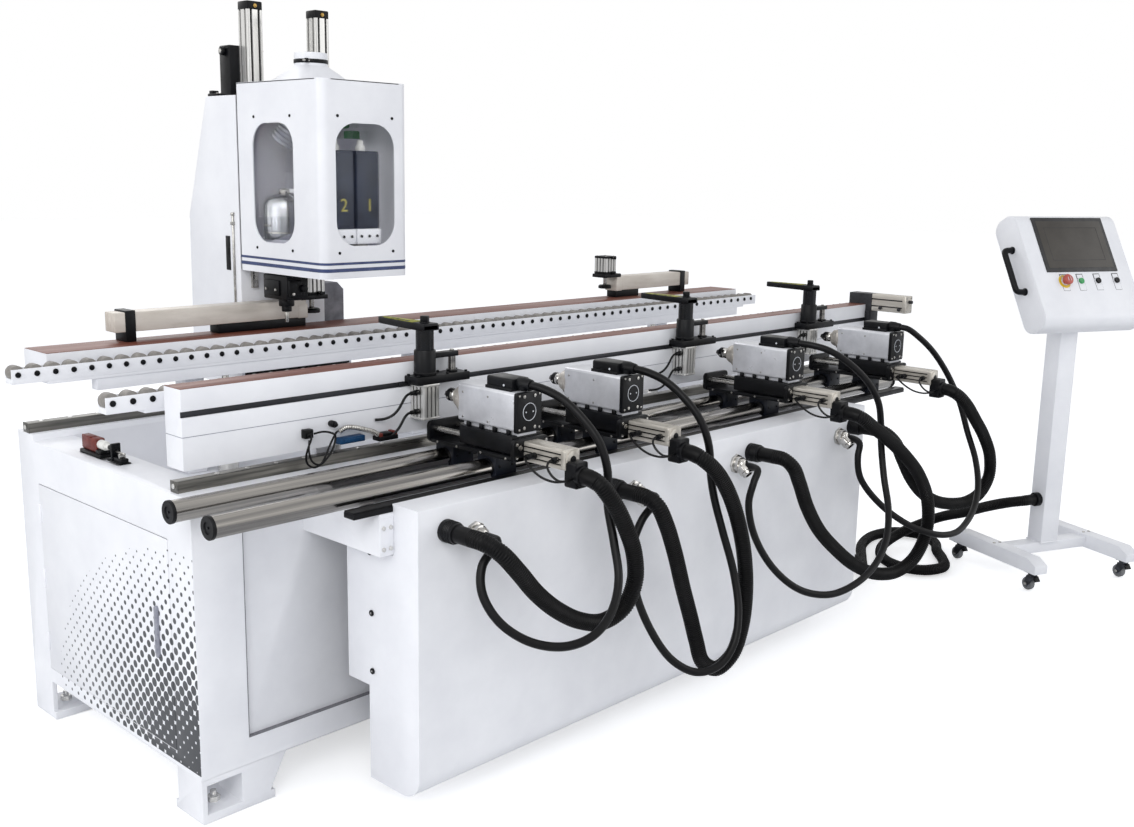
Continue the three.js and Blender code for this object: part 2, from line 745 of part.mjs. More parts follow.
function columnBody() {
  const casing = prism(outline([
    [columnFront, columnBottom], [columnRear, columnBottom], [columnKneeY, columnKnee],
    [columnBrow, columnTop], [columnFront, columnTop],
  ]), 'x', [columnLeft, columnRight]);
  const hollow = prism(outline([
    [columnFront + columnWall, columnBottom - overrun], [columnRear - columnWall, columnBottom - overrun],
    [columnKneeY - columnWall, columnKnee], [columnBrow - columnWall, columnTop - columnWall],
    [columnFront + columnWall, columnTop - columnWall],
  ]), 'x', [columnLeft + columnWall, columnRight - columnWall]);
  const railTop = ledgeHeight + railHeight;
  const foot = block(
    [columnLeft - carriageProud, columnRight + carriageProud],
    [carriageFront, columnFront + columnWall],
    [railTop + clearance, carriageTop],
  );
  const lips = [-1, 1].map((side) => block(
    [columnLeft - carriageProud, columnRight + carriageProud],
    about(rearRailY + side * (railWidth / 2 + clearance + lipWidth / 2), lipWidth),
    [railTop - lipDrop, railTop + overrun],
  ));
  const guides = [columnLeft + guideInset, columnRight - guideInset].map((x) => block(
    about(x, guideWidth), [columnFront - guideDepth, columnFront + overrun / 2], [guideBottom, guideTop],
  ));
  return join(cut(casing, hollow), foot, lips, guides);
}

// On the column's top: the lift cylinder, the black drive box behind it and a small bracket. A cast web
// stands on its right side.
const liftCylinderX = 825;
const liftCylinderY = 1005;
const liftCylinderSize = 54;
const liftCylinderTop = 2010;
const driveBoxX = [765, 885];
const driveBoxDepth = 60;
const driveBoxTop = 1880;
const driveBoxDrop = 60;
const bracketLength = 60;
const bracketHeight = 17;
const bracketBreadth = 28;
const driveBoxFront = liftCylinderY + liftCylinderSize / 2 - weld;
const columnTopPieces = () => [
  block(about(liftCylinderX, liftCylinderSize), about(liftCylinderY, liftCylinderSize),
    [columnTop - weld, liftCylinderTop]),
  block(driveBoxX, [driveBoxFront, driveBoxFront + driveBoxDepth], [columnTop - driveBoxDrop, driveBoxTop]),
  block([columnLeft + overrun, columnLeft + overrun + bracketBreadth],
    [columnBrow - bracketLength, columnBrow - overrun], [columnTop - weld, columnTop + bracketHeight]),
];
const webReach = 85;
const webY = [900, 960];
const webZ = [850, 1150];
const webCorner = 24;
const columnWeb = () => prism(outline([
  [columnRight - weld, webZ[0]], [columnRight + webReach, webZ[0]],
  [columnRight + webReach, webZ[1] - webCorner], [columnRight + webReach - webCorner, webZ[1]],
  [columnRight - weld, webZ[1]],
]), 'y', webY);
place('column_body', join(columnBody(), columnTopPieces(), columnWeb()), whitePaint);

// The head: a folded housing open below, with a window in its front and in its left side and a hopper roof
const headWall = 4;
const headCorner = 28;
const headGap = 6;
const headRear = columnFront - headGap;
const headTop = headBottom + headHeight;
const windowBottom = 1298;
const windowTop = 1640;
const windowRadius = 68;
const frontWindow = [737, 943];
const sideWindow = [592, 800];
const hopperX = 825;
const hopperY = 690;
const hopperHalfWidth = 105;
const hopperHalfDepth = 110;
const hopperTopShare = 0.52;
const hopperHeight = 48;
const portDiameter = 96;
const portWall = 3;
const portHeight = 37;
const liftRoom = 40;
const rearOpening = widened([columnLeft + guideInset, columnRight - guideInset], guideWidth / 2 + overrun);

// A truncated pyramid between two heights above the roof, tapered to its top share
function hopper(halfWidth, halfDepth, [low, high]) {
  const bottomRadius = halfWidth * Math.SQRT2;
  const pyramid = new THREE.CylinderGeometry(bottomRadius * hopperTopShare, bottomRadius, high - low, 4);
  pyramid.rotateX(Math.PI / 2).rotateZ(Math.PI / 4).scale(1, halfDepth / halfWidth, 1);
  return solid(pyramid.translate(hopperX, hopperY, headTop + (high + low) / 2));
}

function headHousing() {
  const [w, d] = [columnWidth, headRear - headFront];
  const [cx, cy] = [columnLeft + w / 2, headFront + d / 2];
  const shell = prism(roundedOutline([cx, cy], w, d, headCorner), 'z', [headBottom, headTop]);
  const inner = roundedOutline([cx, cy], w - 2 * headWall, d - 2 * headWall, headCorner - headWall);
  const hollow = prism(inner, 'z', [headBottom - overrun, headTop - headWall]);
  const middle = (windowBottom + windowTop) / 2;
  const height = windowTop - windowBottom;
  const pane = ([start, end]) => roundedOutline([(start + end) / 2, middle], end - start, height,
    windowRadius);
  const front = prism(pane(frontWindow), 'y', [headFront - overrun, headFront + headWall * 2]);
  const side = prism(pane(sideWindow), 'x', [columnLeft - overrun, columnLeft + headWall * 2]);
  const back = block(rearOpening, [headRear - headWall * 2, headRear + overrun],
    [headBottom - overrun, guideTop + liftRoom]);
  const portFoot = headTop + hopperHeight;
  const port = round(portDiameter, 'z', [portFoot - overrun, portFoot + portHeight], [hopperX, hopperY], 24);
  const throat = round(portDiameter - 2 * portWall, 'z',
    [headTop - headWall * 2, portFoot + portHeight + overrun], [hopperX, hopperY], 24);
  const roof = hopper(hopperHalfWidth, hopperHalfDepth, [-weld, hopperHeight]);
  const mouth = hopper(hopperHalfWidth - headWall, hopperHalfDepth - headWall,
    [-overrun, hopperHeight - headWall]);
  return cut(join(shell, roof, port), hollow, mouth, front, side, back, throat);
}

// The frame inside the head: a plate on the column's guides, a spindle plate, a shelf with the mortising
// motor on it, and the block below
const plateBottom = 1215;
const plateTop = 1735;
const shelfBottom = 1290;
const shelfTop = 1304;
const shelfMargin = 30;
const spindlePlateFront = 571;
const spindlePlateDepth = 12;
const spindlePlateTop = 1600;
const blockLeft = 700;
const blockRight = 775;
const blockY = [655, 780];
const blockZ = [1130, 1203];
const neckMargin = 15;

function headFrame() {
  const width = widened([columnLeft, columnRight], -headCorner - clearance);
  const plateRear = columnFront - guideDepth - clearance;
  return join(
    block(width, [plateRear - 2 * headWall, plateRear], [plateBottom, plateTop]),
    block([columnLeft + shelfMargin, columnRight - shelfMargin], [spindlePlateFront, plateRear],
      [shelfBottom, shelfTop]),
    block([frontWindow[0], frontWindow[1] - shelfMargin],
      [spindlePlateFront, spindlePlateFront + spindlePlateDepth], [plateBottom, spindlePlateTop]),
    block([blockLeft, blockRight], blockY, blockZ),
    block([blockLeft + neckMargin + overrun, blockRight - neckMargin], widened(blockY, -neckMargin),
      [blockZ[1] - overrun, shelfBottom + overrun]),
  );
}

// One clear guard, bent round the corner, closes both windows from inside
const guardThickness = 3;
const guardMargin = 15;

function windowGuard() {
  const insideBy = (inset) => {
    const [w, d] = [columnWidth - 2 * inset, headRear - headFront - 2 * inset];
    const centre = [columnLeft + columnWidth / 2, (headFront + headRear) / 2];
    const line = roundedOutline(centre, w, d, headCorner - inset);
    return prism(line, 'z', widened([windowBottom, windowTop], guardMargin));
  };
  const gap = headWall + clearance;
  const reach = block([columnLeft, frontWindow[1] + guardMargin], [headFront, sideWindow[1] + guardMargin],
    widened([windowBottom, windowTop], guardMargin + overrun));
  return insideBy(gap).subtract(insideBy(gap + guardThickness)).intersect(reach);
}
place('head_window_guard', windowGuard(), clearSheet);

// The second cylinder stands on the housing's roof, near its right rear corner
const roofCylinder = 50;
const roofCylinderX = 952;
const roofCylinderY = 835;
const roofCylinderTop = 1983;
const headCylinder = () => block(about(roofCylinderX, roofCylinder), about(roofCylinderY, roofCylinder),
  [headTop - weld, roofCylinderTop]);

// Inside the head: the ribbed suction duct hangs from the port and leans to the left rear, and the mortising
// motor stands on the shelf
const ductDiameter = 84;
const ductWall = 4;
const ductRib = 5;
const ductRibs = 6;
const ductBends = 5;
const ductBottom = 1580;
const ductLeanX = -62;
const ductLeanY = 78;
const mortiseX = 775;
const mortiseY = 768;
const mortiseDiameter = 124;
const mortiseTop = 1440;
const domeShares = [[0, 0], [0.5, 0], [0.5, 0.75], [0.4, 0.92], [0.2, 1], [0, 1]];

function suctionDuct() {
  const top = headTop + hopperHeight;
  const bore = ductDiameter / 2 - ductRib - ductWall;
  const outer = Array.from({ length: ductRibs * 2 + 1 }, (_, i) => new THREE.Vector2(
    ductDiameter / 2 - (i % 2 ? 0 : ductRib),
    ductBottom + (top - ductBottom) * i / (ductRibs * 2 + 1),
  ));
  const inner = Array.from({ length: ductBends + 1 }, (_, i) => new THREE.Vector2(
    bore,
    top + (ductBottom - top) * i / ductBends,
  ));
  const profile = [
    new THREE.Vector2(bore, ductBottom), ...outer, new THREE.Vector2(portDiameter / 2 - portWall / 2, top),
    ...inner,
  ];
  const duct = new THREE.LatheGeometry(profile, 12).rotateX(Math.PI / 2);
  const places = duct.attributes.position;
  for (let i = 0; i < places.count; i += 1) {
    const share = (top - places.getZ(i)) / (top - ductBottom);
    places.setX(i, places.getX(i) + hopperX + ductLeanX * share ** 2);
    places.setY(i, places.getY(i) + hopperY + ductLeanY * share ** 2);
  }
  return solid(duct);
}

function mortiseMotor() {
  const foot = shelfTop - weld;
  const profile = domeShares.map(([radiusShare, heightShare]) => new THREE.Vector2(
    radiusShare * mortiseDiameter, foot + heightShare * (mortiseTop - foot),
  ));
  return solid(new THREE.LatheGeometry(profile, 14).rotateX(Math.PI / 2).translate(mortiseX, mortiseY, 0));
}
place('head_housing', join(headHousing(), headCylinder(), suctionDuct()), whitePaint);
place('head_frame', join(headFrame(), mortiseMotor()), whitePaint);

// Two spindle units, numbered on the real machine, hang on the spindle plate and plunge
const spindleWidth = 80;
const spindleFront = 481;
const spindleTop = 1565;
const spindleBottom = 1345;
const spindleFlange = 1302;
const spindleNose = 50;
const spindleNoseBottom = 1230;
const collet = 24;
const colletBottom = 1213;
const spindlePlaces = [866, 776];

function spindleUnit(x) {
  const back = spindlePlateFront - clearance;
  const middle = (spindleFront + back) / 2;
  return join(
    block(about(x, spindleWidth), [spindleFront, back], [spindleBottom, spindleTop]),
    block(about(x, spindleWidth + overrun), [spindleFront - overrun, back], [spindleFlange, spindleBottom]),
    round(spindleNose, 'z', [spindleNoseBottom, spindleFlange + overrun], [x, middle]),
    round(collet, 'z', [colletBottom, spindleNoseBottom + overrun], [x, middle], 12),
  );
}
spindlePlaces.forEach((x, i) => place(`spindle_unit_${i + 1}`, spindleUnit(x), blackPaint));

// The console, made about the middle of its stand and turned towards the operator
const consoleGroup = new THREE.Group();
consoleGroup.position.set(consoleX, consoleY, 0);
consoleGroup.rotation.z = THREE.MathUtils.degToRad(consoleTurn);
machine.add(consoleGroup);

const standSpan = 454;
const standDepth = 400;
const sideBeamWidth = 62;
const sideBeamLength = 480;
const sideBeamBottom = 75;
const sideBeamHeight = 55;
const sideBeamNose = 45;
const crossBeamDepth = 60;
const crossBeamHeight = 46;
const pillarWidth = 85;
const pillarDepth = 75;
const pillarWall = 3;
const standGlandLength = 20;
const standGlandHeight = 290;
const boxLength = 460;
const boxThickness = 120;
const boxRadius = 46;
const boxTilt = 30;
const boxWall = 3;
const cableHole = 40;
const cableHoleRow = -125;
const boxMiddleY = -8;
const tilt = THREE.MathUtils.degToRad(boxTilt);
const boxHalfHeight = ((boxLength - 2 * boxRadius) / 2) * Math.cos(tilt)
  + ((boxThickness - 2 * boxRadius) / 2) * Math.sin(tilt) + boxRadius;
const boxMiddleZ = consoleHeight - boxHalfHeight;

// Makes a piece in the panel's own frame: x across, y out of the panel's back, z up along the panel
const tilted = (body) => body.rotate([-boxTilt, 0, 0]).translate([0, boxMiddleY, boxMiddleZ]);
const panelFace = -boxThickness / 2;

function consoleShell(grow) {
  const section = roundedOutline([0, 0], boxThickness + 2 * grow, boxLength + 2 * grow, boxRadius + grow);
  return tilted(prism(section, 'x', about(0, consoleWidth + 2 * grow)));
}

function consoleStand() {
  const sideTop = sideBeamBottom + sideBeamHeight;
  const sides = [-1, 1].map((side) => prism(outline([
    [-sideBeamLength / 2, sideBeamBottom], [sideBeamLength / 2, sideBeamBottom],
    [sideBeamLength / 2, sideTop - sideBeamNose / 2], [sideBeamLength / 2 - sideBeamNose, sideTop],
    [-sideBeamLength / 2 + sideBeamNose, sideTop], [-sideBeamLength / 2, sideTop - sideBeamNose / 2],
  ]), 'x', about(side * standSpan / 2, sideBeamWidth)));
  const cross = block(about(0, standSpan), about(0, crossBeamDepth),
    [sideBeamBottom + overrun, sideBeamBottom + crossBeamHeight]);
  const pillar = cut(
    block(about(0, pillarWidth), about(0, pillarDepth),
      [sideBeamBottom + crossBeamHeight - overrun, boxMiddleZ]),
    block(about(0, pillarWidth - 2 * pillarWall), about(0, pillarDepth - 2 * pillarWall),
      [sideBeamBottom + crossBeamHeight, boxMiddleZ + overrun]),
    consoleShell(clearance),
  );
  const gland = round(collarDiameter, 'x',
    [-pillarWidth / 2 - standGlandLength, -pillarWidth / 2 + pillarWall / 2], [0, standGlandHeight], 16);
  return join(sides, cross, pillar, gland);
}
place('console_stand', consoleStand(), whitePaint, consoleGroup);

// The box carries the screen on its panel, a bar handle on each side, and the bores that the buttons run in
const screenWidth = 345;
const screenHeight = 225;
const screenLow = -20;
const screenProud = 4;
const buttonRow = -58;
const stopButtonX = -102;
const buttonPlaces = [-23, 60, 152];
const buttonDiameter = 22;
const buttonProud = 8;
const buttonDepth = 14;
const buttonTravel = 3;
const stopStem = 18;
const stopHead = 40;
const stopHeadProud = 28;
const stopHeadThickness = 16;
const stopTravel = 5;
const handleRod = 18;
const handleLapShare = 0.25;
const handleLength = 190;
const handleStandOff = 42;
const handleMiddle = 15;

function barHandle(side) {
  const wall = side * (consoleWidth - boxWall) / 2;
  const out = side * (consoleWidth / 2 + handleStandOff);
  const ends = about(handleMiddle, handleLength);
  return join(
    ends.map((z) => round(handleRod, 'x', inOrder(wall, out + side * handleRod * handleLapShare), [0, z], 8)),
    round(handleRod, 'z', widened(ends, handleRod * handleLapShare), [out, 0], 8),
  );
}

function consoleBox() {
  const [innerThickness, innerLength] = [boxThickness - 2 * boxWall, boxLength - 2 * boxWall];
  const inner = roundedOutline([0, 0], innerThickness, innerLength, boxRadius - boxWall);
  const shell = cut(
    prism(roundedOutline([0, 0], boxThickness, boxLength, boxRadius), 'x', about(0, consoleWidth)),
    prism(inner, 'x', about(0, consoleWidth - 2 * boxWall)),
    block(about(0, cableHole), [0, boxThickness], about(cableHoleRow, cableHole)),
    buttonPlaces.map((x) => round(buttonDiameter + 2 * runningGap, 'y',
      [panelFace - overrun, panelFace + buttonDepth + buttonTravel + overrun], [x, buttonRow], 16)),
    round(stopStem + 2 * runningGap, 'y',
      [panelFace - overrun, panelFace + buttonDepth + stopTravel + overrun], [stopButtonX, buttonRow], 16),
  );
  const screen = block(about(0, screenWidth), [panelFace - screenProud, panelFace + boxWall / 2],
    [screenLow, screenLow + screenHeight]);
  return tilted(join(shell, screen, barHandle(-1), barHandle(1)));
}
place('console_box', consoleBox(), whitePaint, consoleGroup);
buttonPlaces.forEach((x, i) => place(`button_${i + 1}`, tilted(round(buttonDiameter, 'y',
  [panelFace - buttonProud, panelFace + buttonDepth], [x, buttonRow], 16)), blackPlastic, consoleGroup));
place('emergency_stop', tilted(join(
  round(stopStem, 'y', [panelFace - stopHeadProud, panelFace + buttonDepth], [stopButtonX, buttonRow], 16),
  round(stopHead, 'y', [panelFace - stopHeadProud, panelFace - stopHeadProud + stopHeadThickness],
    [stopButtonX, buttonRow], 20),
)), stopRed, consoleGroup);

// Casters: a fork that swivels under the side beam and a wheel on the fork's axle
const wheelDiameter = 50;
const wheelWidth = 20;
const trail = 18;
const forkPlate = 44;
const forkPlateThickness = 4;
const forkCheek = 3;
const swivelDiameter = 28;
const axleDiameter = 8;
const casterSigns = [[-1, 1], [-1, -1], [1, -1], [1, 1]];

function casterFork(x, y) {
  const top = sideBeamBottom - clearance;
  const crown = top - forkPlateThickness;
  const gap = wheelWidth / 2 + 2 * runningGap;
  const deck = wheelDiameter + 2 * overrun;
  const tip = wheelDiameter / 2 - axleDiameter;
  const cheeks = [-1, 1].map((side) => prism(outline([
    [y + trail - axleDiameter, tip], [y + trail + axleDiameter, tip], [y + trail, deck], [y - trail, deck],
  ]), 'x', inOrder(x + side * gap, x + side * (gap + forkCheek))));
  return join(
    block(about(x, forkPlate), about(y, forkPlate), [crown, top]),
    round(swivelDiameter, 'z', [deck - forkPlateThickness, crown + weld], [x, y], 10),
    block(about(x, 2 * (gap + forkCheek)), about(y, 2 * trail), [deck - forkPlateThickness, deck]),
    cheeks,
    round(axleDiameter, 'x', about(x, 2 * (gap + forkCheek)), [y + trail, wheelDiameter / 2], 8),
  );
}

function casterWheel(x, y) {
  const centre = [y + trail, wheelDiameter / 2];
  return cut(
    round(wheelDiameter, 'x', about(x, wheelWidth), centre, 16),
    round(axleDiameter + 2 * runningGap, 'x', about(x, wheelWidth + 2 * overrun), centre, 8),
  );
}
casterSigns.forEach(([sx, sy], i) => {
  const [x, y] = [sx * standSpan / 2, sy * standDepth / 2];
  place(`caster_fork_${i + 1}`, casterFork(x, y), chromed, consoleGroup);
  place(`caster_wheel_${i + 1}`, casterWheel(x, y), greyRubber, consoleGroup);
});

// Corrugated conduits from each unit's elbow to its collar, smooth cables from each terminal box to its
// union, and the console's conduit, which loops on the floor
const conduitDiameter = 42;
const conduitBore = 22;
const conduitRib = 2;
const conduitSides = 7;
const unitRibPitch = 85;
const consoleRibPitch = 120;
const cableDiameter = 21;
const cableSteps = 20;

const conduitRoutes = [
  [[737, -500.3, 812], [737, -525, 812], [744, -552, 800], [770, -574, 755], [803, -586, 690],
    [830, -591, 620], [836, -590, 550], [812, -578, 488], [755, -562, 462], [685, -552, 480],
    [615, -544, 522], [550, -540, 578], [495, -538, 640], [452, -526, 690], [430, -494, 712],
    [427, -452, 714], [427, -413.3, 714]],
  [[1126, -500.3, 812], [1126, -525, 812], [1138, -550, 800], [1175, -568, 765], [1222, -578, 700],
    [1260, -588, 610], [1282, -597, 510], [1290, -600, 405], [1286, -594, 310], [1264, -584, 240],
    [1218, -568, 208], [1172, -554, 236], [1150, -546, 300], [1130, -539, 370], [1100, -534, 455],
    [1062, -532, 560], [1024, -530, 645], [1000, -520, 694], [991, -492, 712], [990, -452, 714],
    [990, -413.3, 714]],
  [[1912, -500.3, 812], [1912, -525, 812], [1926, -552, 802], [1975, -568, 768], [2055, -578, 720],
    [2150, -588, 655], [2240, -597, 575], [2300, -602, 480], [2308, -602, 380], [2255, -595, 300],
    [2165, -582, 268], [2060, -565, 280], [1960, -546, 325], [1870, -530, 390], [1785, -515, 468],
    [1714, -512, 555], [1655, -518, 640], [1624, -514, 690], [1611, -490, 712], [1610, -452, 714],
    [1610, -413.3, 714]],
  [[2546, -500.3, 812], [2546, -525, 812], [2556, -550, 800], [2595, -566, 766], [2655, -576, 705],
    [2718, -586, 635], [2765, -592, 560], [2772, -592, 485], [2722, -586, 430], [2640, -578, 412],
    [2545, -567, 420], [2450, -554, 445], [2365, -544, 490], [2295, -538, 550], [2238, -534, 620],
    [2200, -522, 682], [2183, -492, 711], [2180, -452, 714], [2180, -413.3, 714]],
];
const cableRoutes = [
  [[737, -290.3, 1007], [737, -318, 1007], [742, -360, 1003], [755, -410, 985], [772, -460, 945],
    [790, -505, 888], [799, -525, 825], [798, -531, 735], [789, -562, 650], [765, -600, 575],
    [715, -625, 515], [650, -628, 474], [580, -605, 460], [510, -562, 478], [456, -516, 528],
    [440, -478, 590], [455, -462, 645], [488, -462, 678], [510, -452, 690], [515, -430, 690],
    [515, -406.3, 690]],
  [[1126, -290.3, 1007], [1126, -318, 1007], [1132, -360, 1003], [1147, -410, 985], [1166, -460, 945],
    [1184, -505, 888], [1196, -526, 825], [1207, -530, 735], [1217, -537, 675], [1228, -560, 590],
    [1238, -595, 480], [1225, -625, 385], [1190, -640, 308], [1138, -635, 262], [1075, -610, 252],
    [1018, -572, 290], [982, -525, 370], [968, -482, 470], [980, -458, 570], [1015, -458, 640],
    [1052, -464, 677], [1074, -454, 690], [1080, -430, 690], [1080, -406.3, 690]],
  [[1912, -290.3, 1007], [1912, -318, 1007], [1924, -358, 1004], [1955, -405, 990], [2000, -455, 950],
    [2040, -502, 892], [2067, -527, 830], [2082, -533, 760], [2088, -536, 690], [2075, -560, 595],
    [2035, -605, 505], [1970, -640, 430], [1885, -655, 372], [1790, -648, 332], [1690, -620, 315],
    [1600, -575, 340], [1530, -525, 410], [1494, -480, 505], [1490, -458, 595], [1507, -460, 655],
    [1530, -456, 686], [1540, -430, 690], [1540, -406.3, 690]],
  [[2546, -290.3, 1007], [2546, -318, 1007], [2562, -345, 1003], [2602, -372, 972], [2650, -405, 920],
    [2692, -445, 840], [2708, -490, 745], [2692, -535, 650], [2655, -590, 565], [2600, -632, 495],
    [2525, -662, 440], [2440, -678, 402], [2350, -682, 382], [2265, -658, 388], [2190, -598, 422],
    [2128, -522, 490], [2086, -472, 572], [2078, -462, 640], [2092, -458, 680], [2105, -430, 690],
    [2105, -406.3, 690]],
];
const consoleRoute = [
  [2500, -15.3, 240], [2500, -50, 240], [2514, -102, 220], [2562, -142, 165], [2650, -150, 90],
  [2760, -122, 36], [2900, -40, 22.5], [3060, 50, 22.5], [3220, 82, 22.5], [3340, 38, 22.5],
  [3368, -62, 22.5], [3305, -150, 22.5], [3210, -208, 22.5], [3125, -275, 22.5], [3030, -326, 22.5],
  [2935, -288, 22.5], [2912, -195, 22.5], [2960, -100, 24], [3065, -38, 32], [3180, -30, 50],
  [3275, -75, 88], [3318, -160, 135], [3288, -275, 185], [3245, -385, 240], [3235, -470, 275],
  [3262, -525, 289], [3287.5, -536.5, 290], [3307.6, -545.4, 290],
];

const pathAlong = (route) => new THREE.CatmullRomCurve3(route.map((point) => new THREE.Vector3(...point)));

// A tube of rings along a path: crests and hollows outside, a plain bore inside, and flat ends
function ribbedHose(route, ribPitch) {
  const path = pathAlong(route);
  const steps = Math.round(path.getLength() / ribPitch) * 2 + 2;
  const frames = path.computeFrenetFrames(steps, false);
  const step = path.getLength() / steps;
  const corners = [];
  const faces = [];
  const ring = (i, radius) => {
    const middle = path.getPointAt(i / steps);
    for (let k = 0; k < conduitSides; k += 1) {
      const angle = k / conduitSides * 2 * Math.PI;
      const spoke = frames.normals[i].clone().multiplyScalar(Math.cos(angle) * radius);
      spoke.addScaledVector(frames.binormals[i], Math.sin(angle) * radius);
      corners.push(...middle.clone().add(spoke).toArray());
    }
    return corners.length / 3 - conduitSides;
  };
  const bridge = (a, b) => {
    for (let k = 0; k < conduitSides; k += 1) {
      const next = (k + 1) % conduitSides;
      faces.push(a + k, a + next, b + next, a + k, b + next, b + k);
    }
  };
  const crest = conduitDiameter / 2;
  const outside = [];
  for (let i = 0; i <= steps; i += 1) {
    const nearEnd = Math.min(i, steps - i) * step < conduitDiameter;
    outside.push(ring(i, nearEnd || i % 2 ? crest : crest - conduitRib));
  }
  const inside = [];
  for (let i = 0; i <= steps; i += 2) inside.push(ring(i, conduitBore / 2));
  outside.slice(1).forEach((start, i) => bridge(outside[i], start));
  inside.slice(1).forEach((start, i) => bridge(start, inside[i]));
  bridge(inside[0], outside[0]);
  bridge(outside.at(-1), inside.at(-1));
  const geometry = new THREE.BufferGeometry();
  geometry.setAttribute('position', new THREE.Float32BufferAttribute(corners, 3));
  geometry.setIndex(faces);
  geometry.computeVertexNormals();
  return geometry;
}

function smoothCable(route) {
  const section = new THREE.Shape().absarc(0, 0, cableDiameter / 2, 0, 2 * Math.PI);
  const extrudePath = pathAlong(route);
  const geometry = new THREE.ExtrudeGeometry(section, { steps: cableSteps, extrudePath, curveSegments: 3 });
  return surface(solid(geometry));
}
conduitRoutes.forEach((route, i) => {
  place(`unit_conduit_${i + 1}`, ribbedHose(route, unitRibPitch), blackPlastic);
});
cableRoutes.forEach((route, i) => place(`motor_cable_${i + 1}`, smoothCable(route), blackPlastic));
place('console_conduit', ribbedHose(consoleRoute, consoleRibPitch), blackPlastic);

// The part's origin is on the floor, in the middle of everything but the hoses
machine.updateMatrixWorld(true);
const extent = new THREE.Box3();
machine.traverse((piece) => {
  if (piece.isMesh && !cordNames.includes(piece.name)) extent.expandByObject(piece, true);
});
const middle = extent.getCenter(new THREE.Vector3());
machine.position.set(-middle.x, -middle.y, 0);

const part = new THREE.Group();
part.add(machine);
part.updateMatrixWorld(true);

export default part;
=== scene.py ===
import math

import bmesh
import bpy
from mathutils import Matrix, Vector


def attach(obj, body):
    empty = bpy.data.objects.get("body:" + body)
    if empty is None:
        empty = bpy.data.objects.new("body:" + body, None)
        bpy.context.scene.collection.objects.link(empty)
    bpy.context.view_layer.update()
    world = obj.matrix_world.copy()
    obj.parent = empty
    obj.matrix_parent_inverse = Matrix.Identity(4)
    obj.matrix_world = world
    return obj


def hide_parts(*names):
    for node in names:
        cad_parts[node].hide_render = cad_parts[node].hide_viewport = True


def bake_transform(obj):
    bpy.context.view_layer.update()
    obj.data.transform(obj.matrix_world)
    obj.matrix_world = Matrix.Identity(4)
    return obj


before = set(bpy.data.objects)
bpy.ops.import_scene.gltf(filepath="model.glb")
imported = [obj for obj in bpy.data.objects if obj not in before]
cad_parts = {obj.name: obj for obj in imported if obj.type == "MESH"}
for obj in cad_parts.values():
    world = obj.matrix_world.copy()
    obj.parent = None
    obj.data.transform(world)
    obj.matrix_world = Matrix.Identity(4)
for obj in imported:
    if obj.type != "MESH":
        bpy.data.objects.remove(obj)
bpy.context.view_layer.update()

# The camera stands off the machine's left end, in front of it, and looks slightly down along both beams.
# The machine is drawn in its own millimetres, from the base's left front corner on the floor.
corner = Vector((-1803.156, -145.406, 0))


def metres(x, y, z):
    """A place on the machine, in the scene's metres"""
    return (corner + Vector((x, y, z))) / 1000


yaw, pitch, roll = (math.radians(a) for a in (46.549, 11.231, -1.088))
ahead = Vector((math.sin(yaw) * math.cos(pitch), math.cos(yaw) * math.cos(pitch), -math.sin(pitch)))
level = Vector((math.cos(yaw), -math.sin(yaw), 0))
below = ahead.cross(level)
across = level * math.cos(roll) + below * math.sin(roll)
upward = level * math.sin(roll) - below * math.cos(roll)
sensor_width, focal_pixels, photo_width = 36, 1218, 1134
lens = bpy.data.cameras.new("photo_camera")
lens.sensor_width = sensor_width
lens.lens = sensor_width * focal_pixels / photo_width
lens.clip_start, lens.clip_end = 0.05, 60
camera = bpy.data.objects.new("photo_camera", lens)
camera.matrix_world = (Matrix.Translation(metres(-1319, -2396, 1518))
                       @ Matrix((across, upward, -ahead)).transposed().to_4x4())
bpy.context.scene.collection.objects.link(camera)
bpy.context.scene.camera = camera

